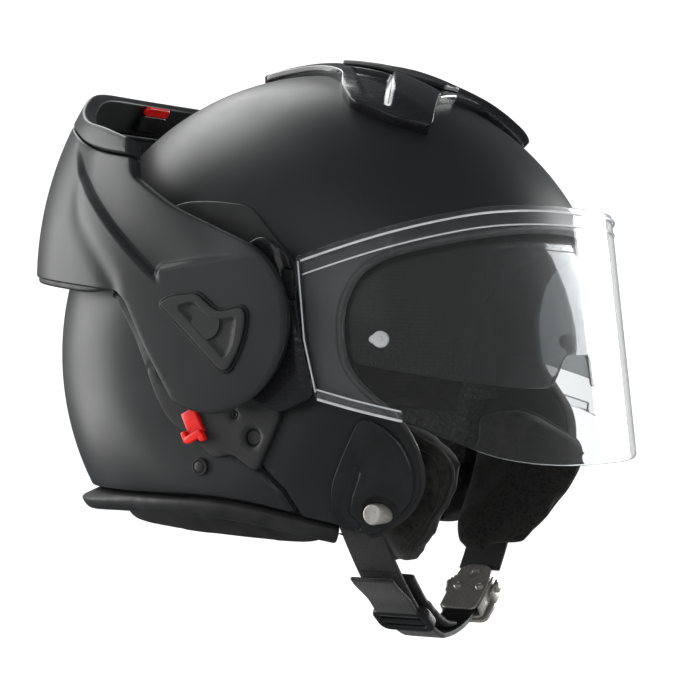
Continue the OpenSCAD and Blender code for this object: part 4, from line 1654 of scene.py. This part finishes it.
# ---------------------------------------------------------------- CAD nodes that keep their shape

repaint(FOAM, "impact_liner")
repaint(PLASTIC, "sun_visor_pivots", "pivot_screws")
repaint(DARK_PLASTIC, "visor_catch_right", "visor_catch_left")
repaint(STEEL, "strap_anchors")

# ---------------------------------------------------------------- stage, lights and camera


BACKDROP_GLOW = 0.88


def studio_bowl(radius=2.6, floor=-0.34, wall=2.2, bend=0.7):
    """A pale floor that curves up into a wall all round."""
    profile = [(0.02, floor)] + [(radius * k / 12, floor) for k in range(1, 13)]
    profile += [(radius + bend * math.sin(a), floor + bend * (1 - math.cos(a)))
                for a in np.linspace(0, math.pi / 2, 13)[1:]]
    profile.append((radius + bend, floor + bend + wall))
    turns = 64
    verts = []
    for r, z in profile:
        verts += [(r * math.cos(2 * math.pi * k / turns), r * math.sin(2 * math.pi * k / turns), z)
                  for k in range(turns)]
    mesh = bpy.data.meshes.new("studio_bowl")
    mesh.from_pydata(verts, [], tube_faces(turns, len(profile)) + [tuple(reversed(range(turns)))])
    mesh.shade_smooth()
    bowl = linked("studio_bowl", mesh)
    white = bpy.data.materials.new("studio_white")
    white.use_nodes = True
    shader = white.node_tree.nodes["Principled BSDF"]
    for socket, value in (("Base Color", (0.3, 0.3, 0.3, 1)), ("Roughness", 0.9),
                          ("Emission Color", (1, 1, 1, 1)), ("Emission Strength", BACKDROP_GLOW)):
        shader.inputs[socket].default_value = value
    mesh.materials.append(white)
    bowl.visible_glossy = False


def area_light(name, place, target, size, power):
    data = bpy.data.lights.new(name, "AREA")
    data.shape = "RECTANGLE"
    data.size, data.size_y = size
    data.energy = power
    lamp = linked(name, data)
    lamp.location = place
    lamp.rotation_euler = (Vector(target) - Vector(place)).to_track_quat("-Z", "Y").to_euler()


VIEW_AZIMUTH = math.radians(30)
VIEW_DISTANCE = 1.2
TOWARDS_CAMERA = Vector((math.sin(VIEW_AZIMUTH), -math.cos(VIEW_AZIMUTH), 0))
RIGHT = Vector((math.cos(VIEW_AZIMUTH), math.sin(VIEW_AZIMUTH), 0))
AIM = RIGHT * 0.0026 + Vector((0, 0, -0.013))


def camera():
    data = bpy.data.cameras.new("camera")
    data.lens, data.sensor_width = 117, 36
    cam = linked("camera", data)
    cam.location = AIM + TOWARDS_CAMERA * VIEW_DISTANCE
    cam.rotation_euler = (-TOWARDS_CAMERA).to_track_quat("-Z", "Y").to_euler()
    bpy.context.scene.camera = cam


def studio():
    world = bpy.data.worlds.new("studio")
    world.use_nodes = True
    back = world.node_tree.nodes["Background"]
    back.inputs["Color"].default_value = (0.9, 0.95, 1.0, 1)
    back.inputs["Strength"].default_value = 0.12
    bpy.context.scene.world = world

    def towards(right, near, up, far):
        """A place in the direction right, near and up as the camera sees it, at a distance."""
        return (RIGHT * right + TOWARDS_CAMERA * near + Vector((0, 0, up))).normalized() * far

    area_light("key_left", towards(-0.95, -0.22, 0.1, 1.7), (0, 0, 0), (1.7, 1.4), 26)
    area_light("key_high", towards(-0.42, -0.5, 0.75, 1.8), (0, 0, 0.05), (1.5, 1.1), 22)
    area_light("band_right", towards(0.74, -0.66, 0.1, 2.1), (0.1, 0, 0), (0.75, 1.3), 24)
    area_light("front_fill", towards(-0.3, 0.85, 0.45, 1.9), (0, 0, 0), (1.2, 1.2), 2.5)
    area_light("room_up", (0, 0, 1.9), (0, 0, 3.0), (2.5, 2.5), 60)
    bpy.context.scene.view_settings.view_transform = "Standard"


studio_bowl()
studio()
camera()
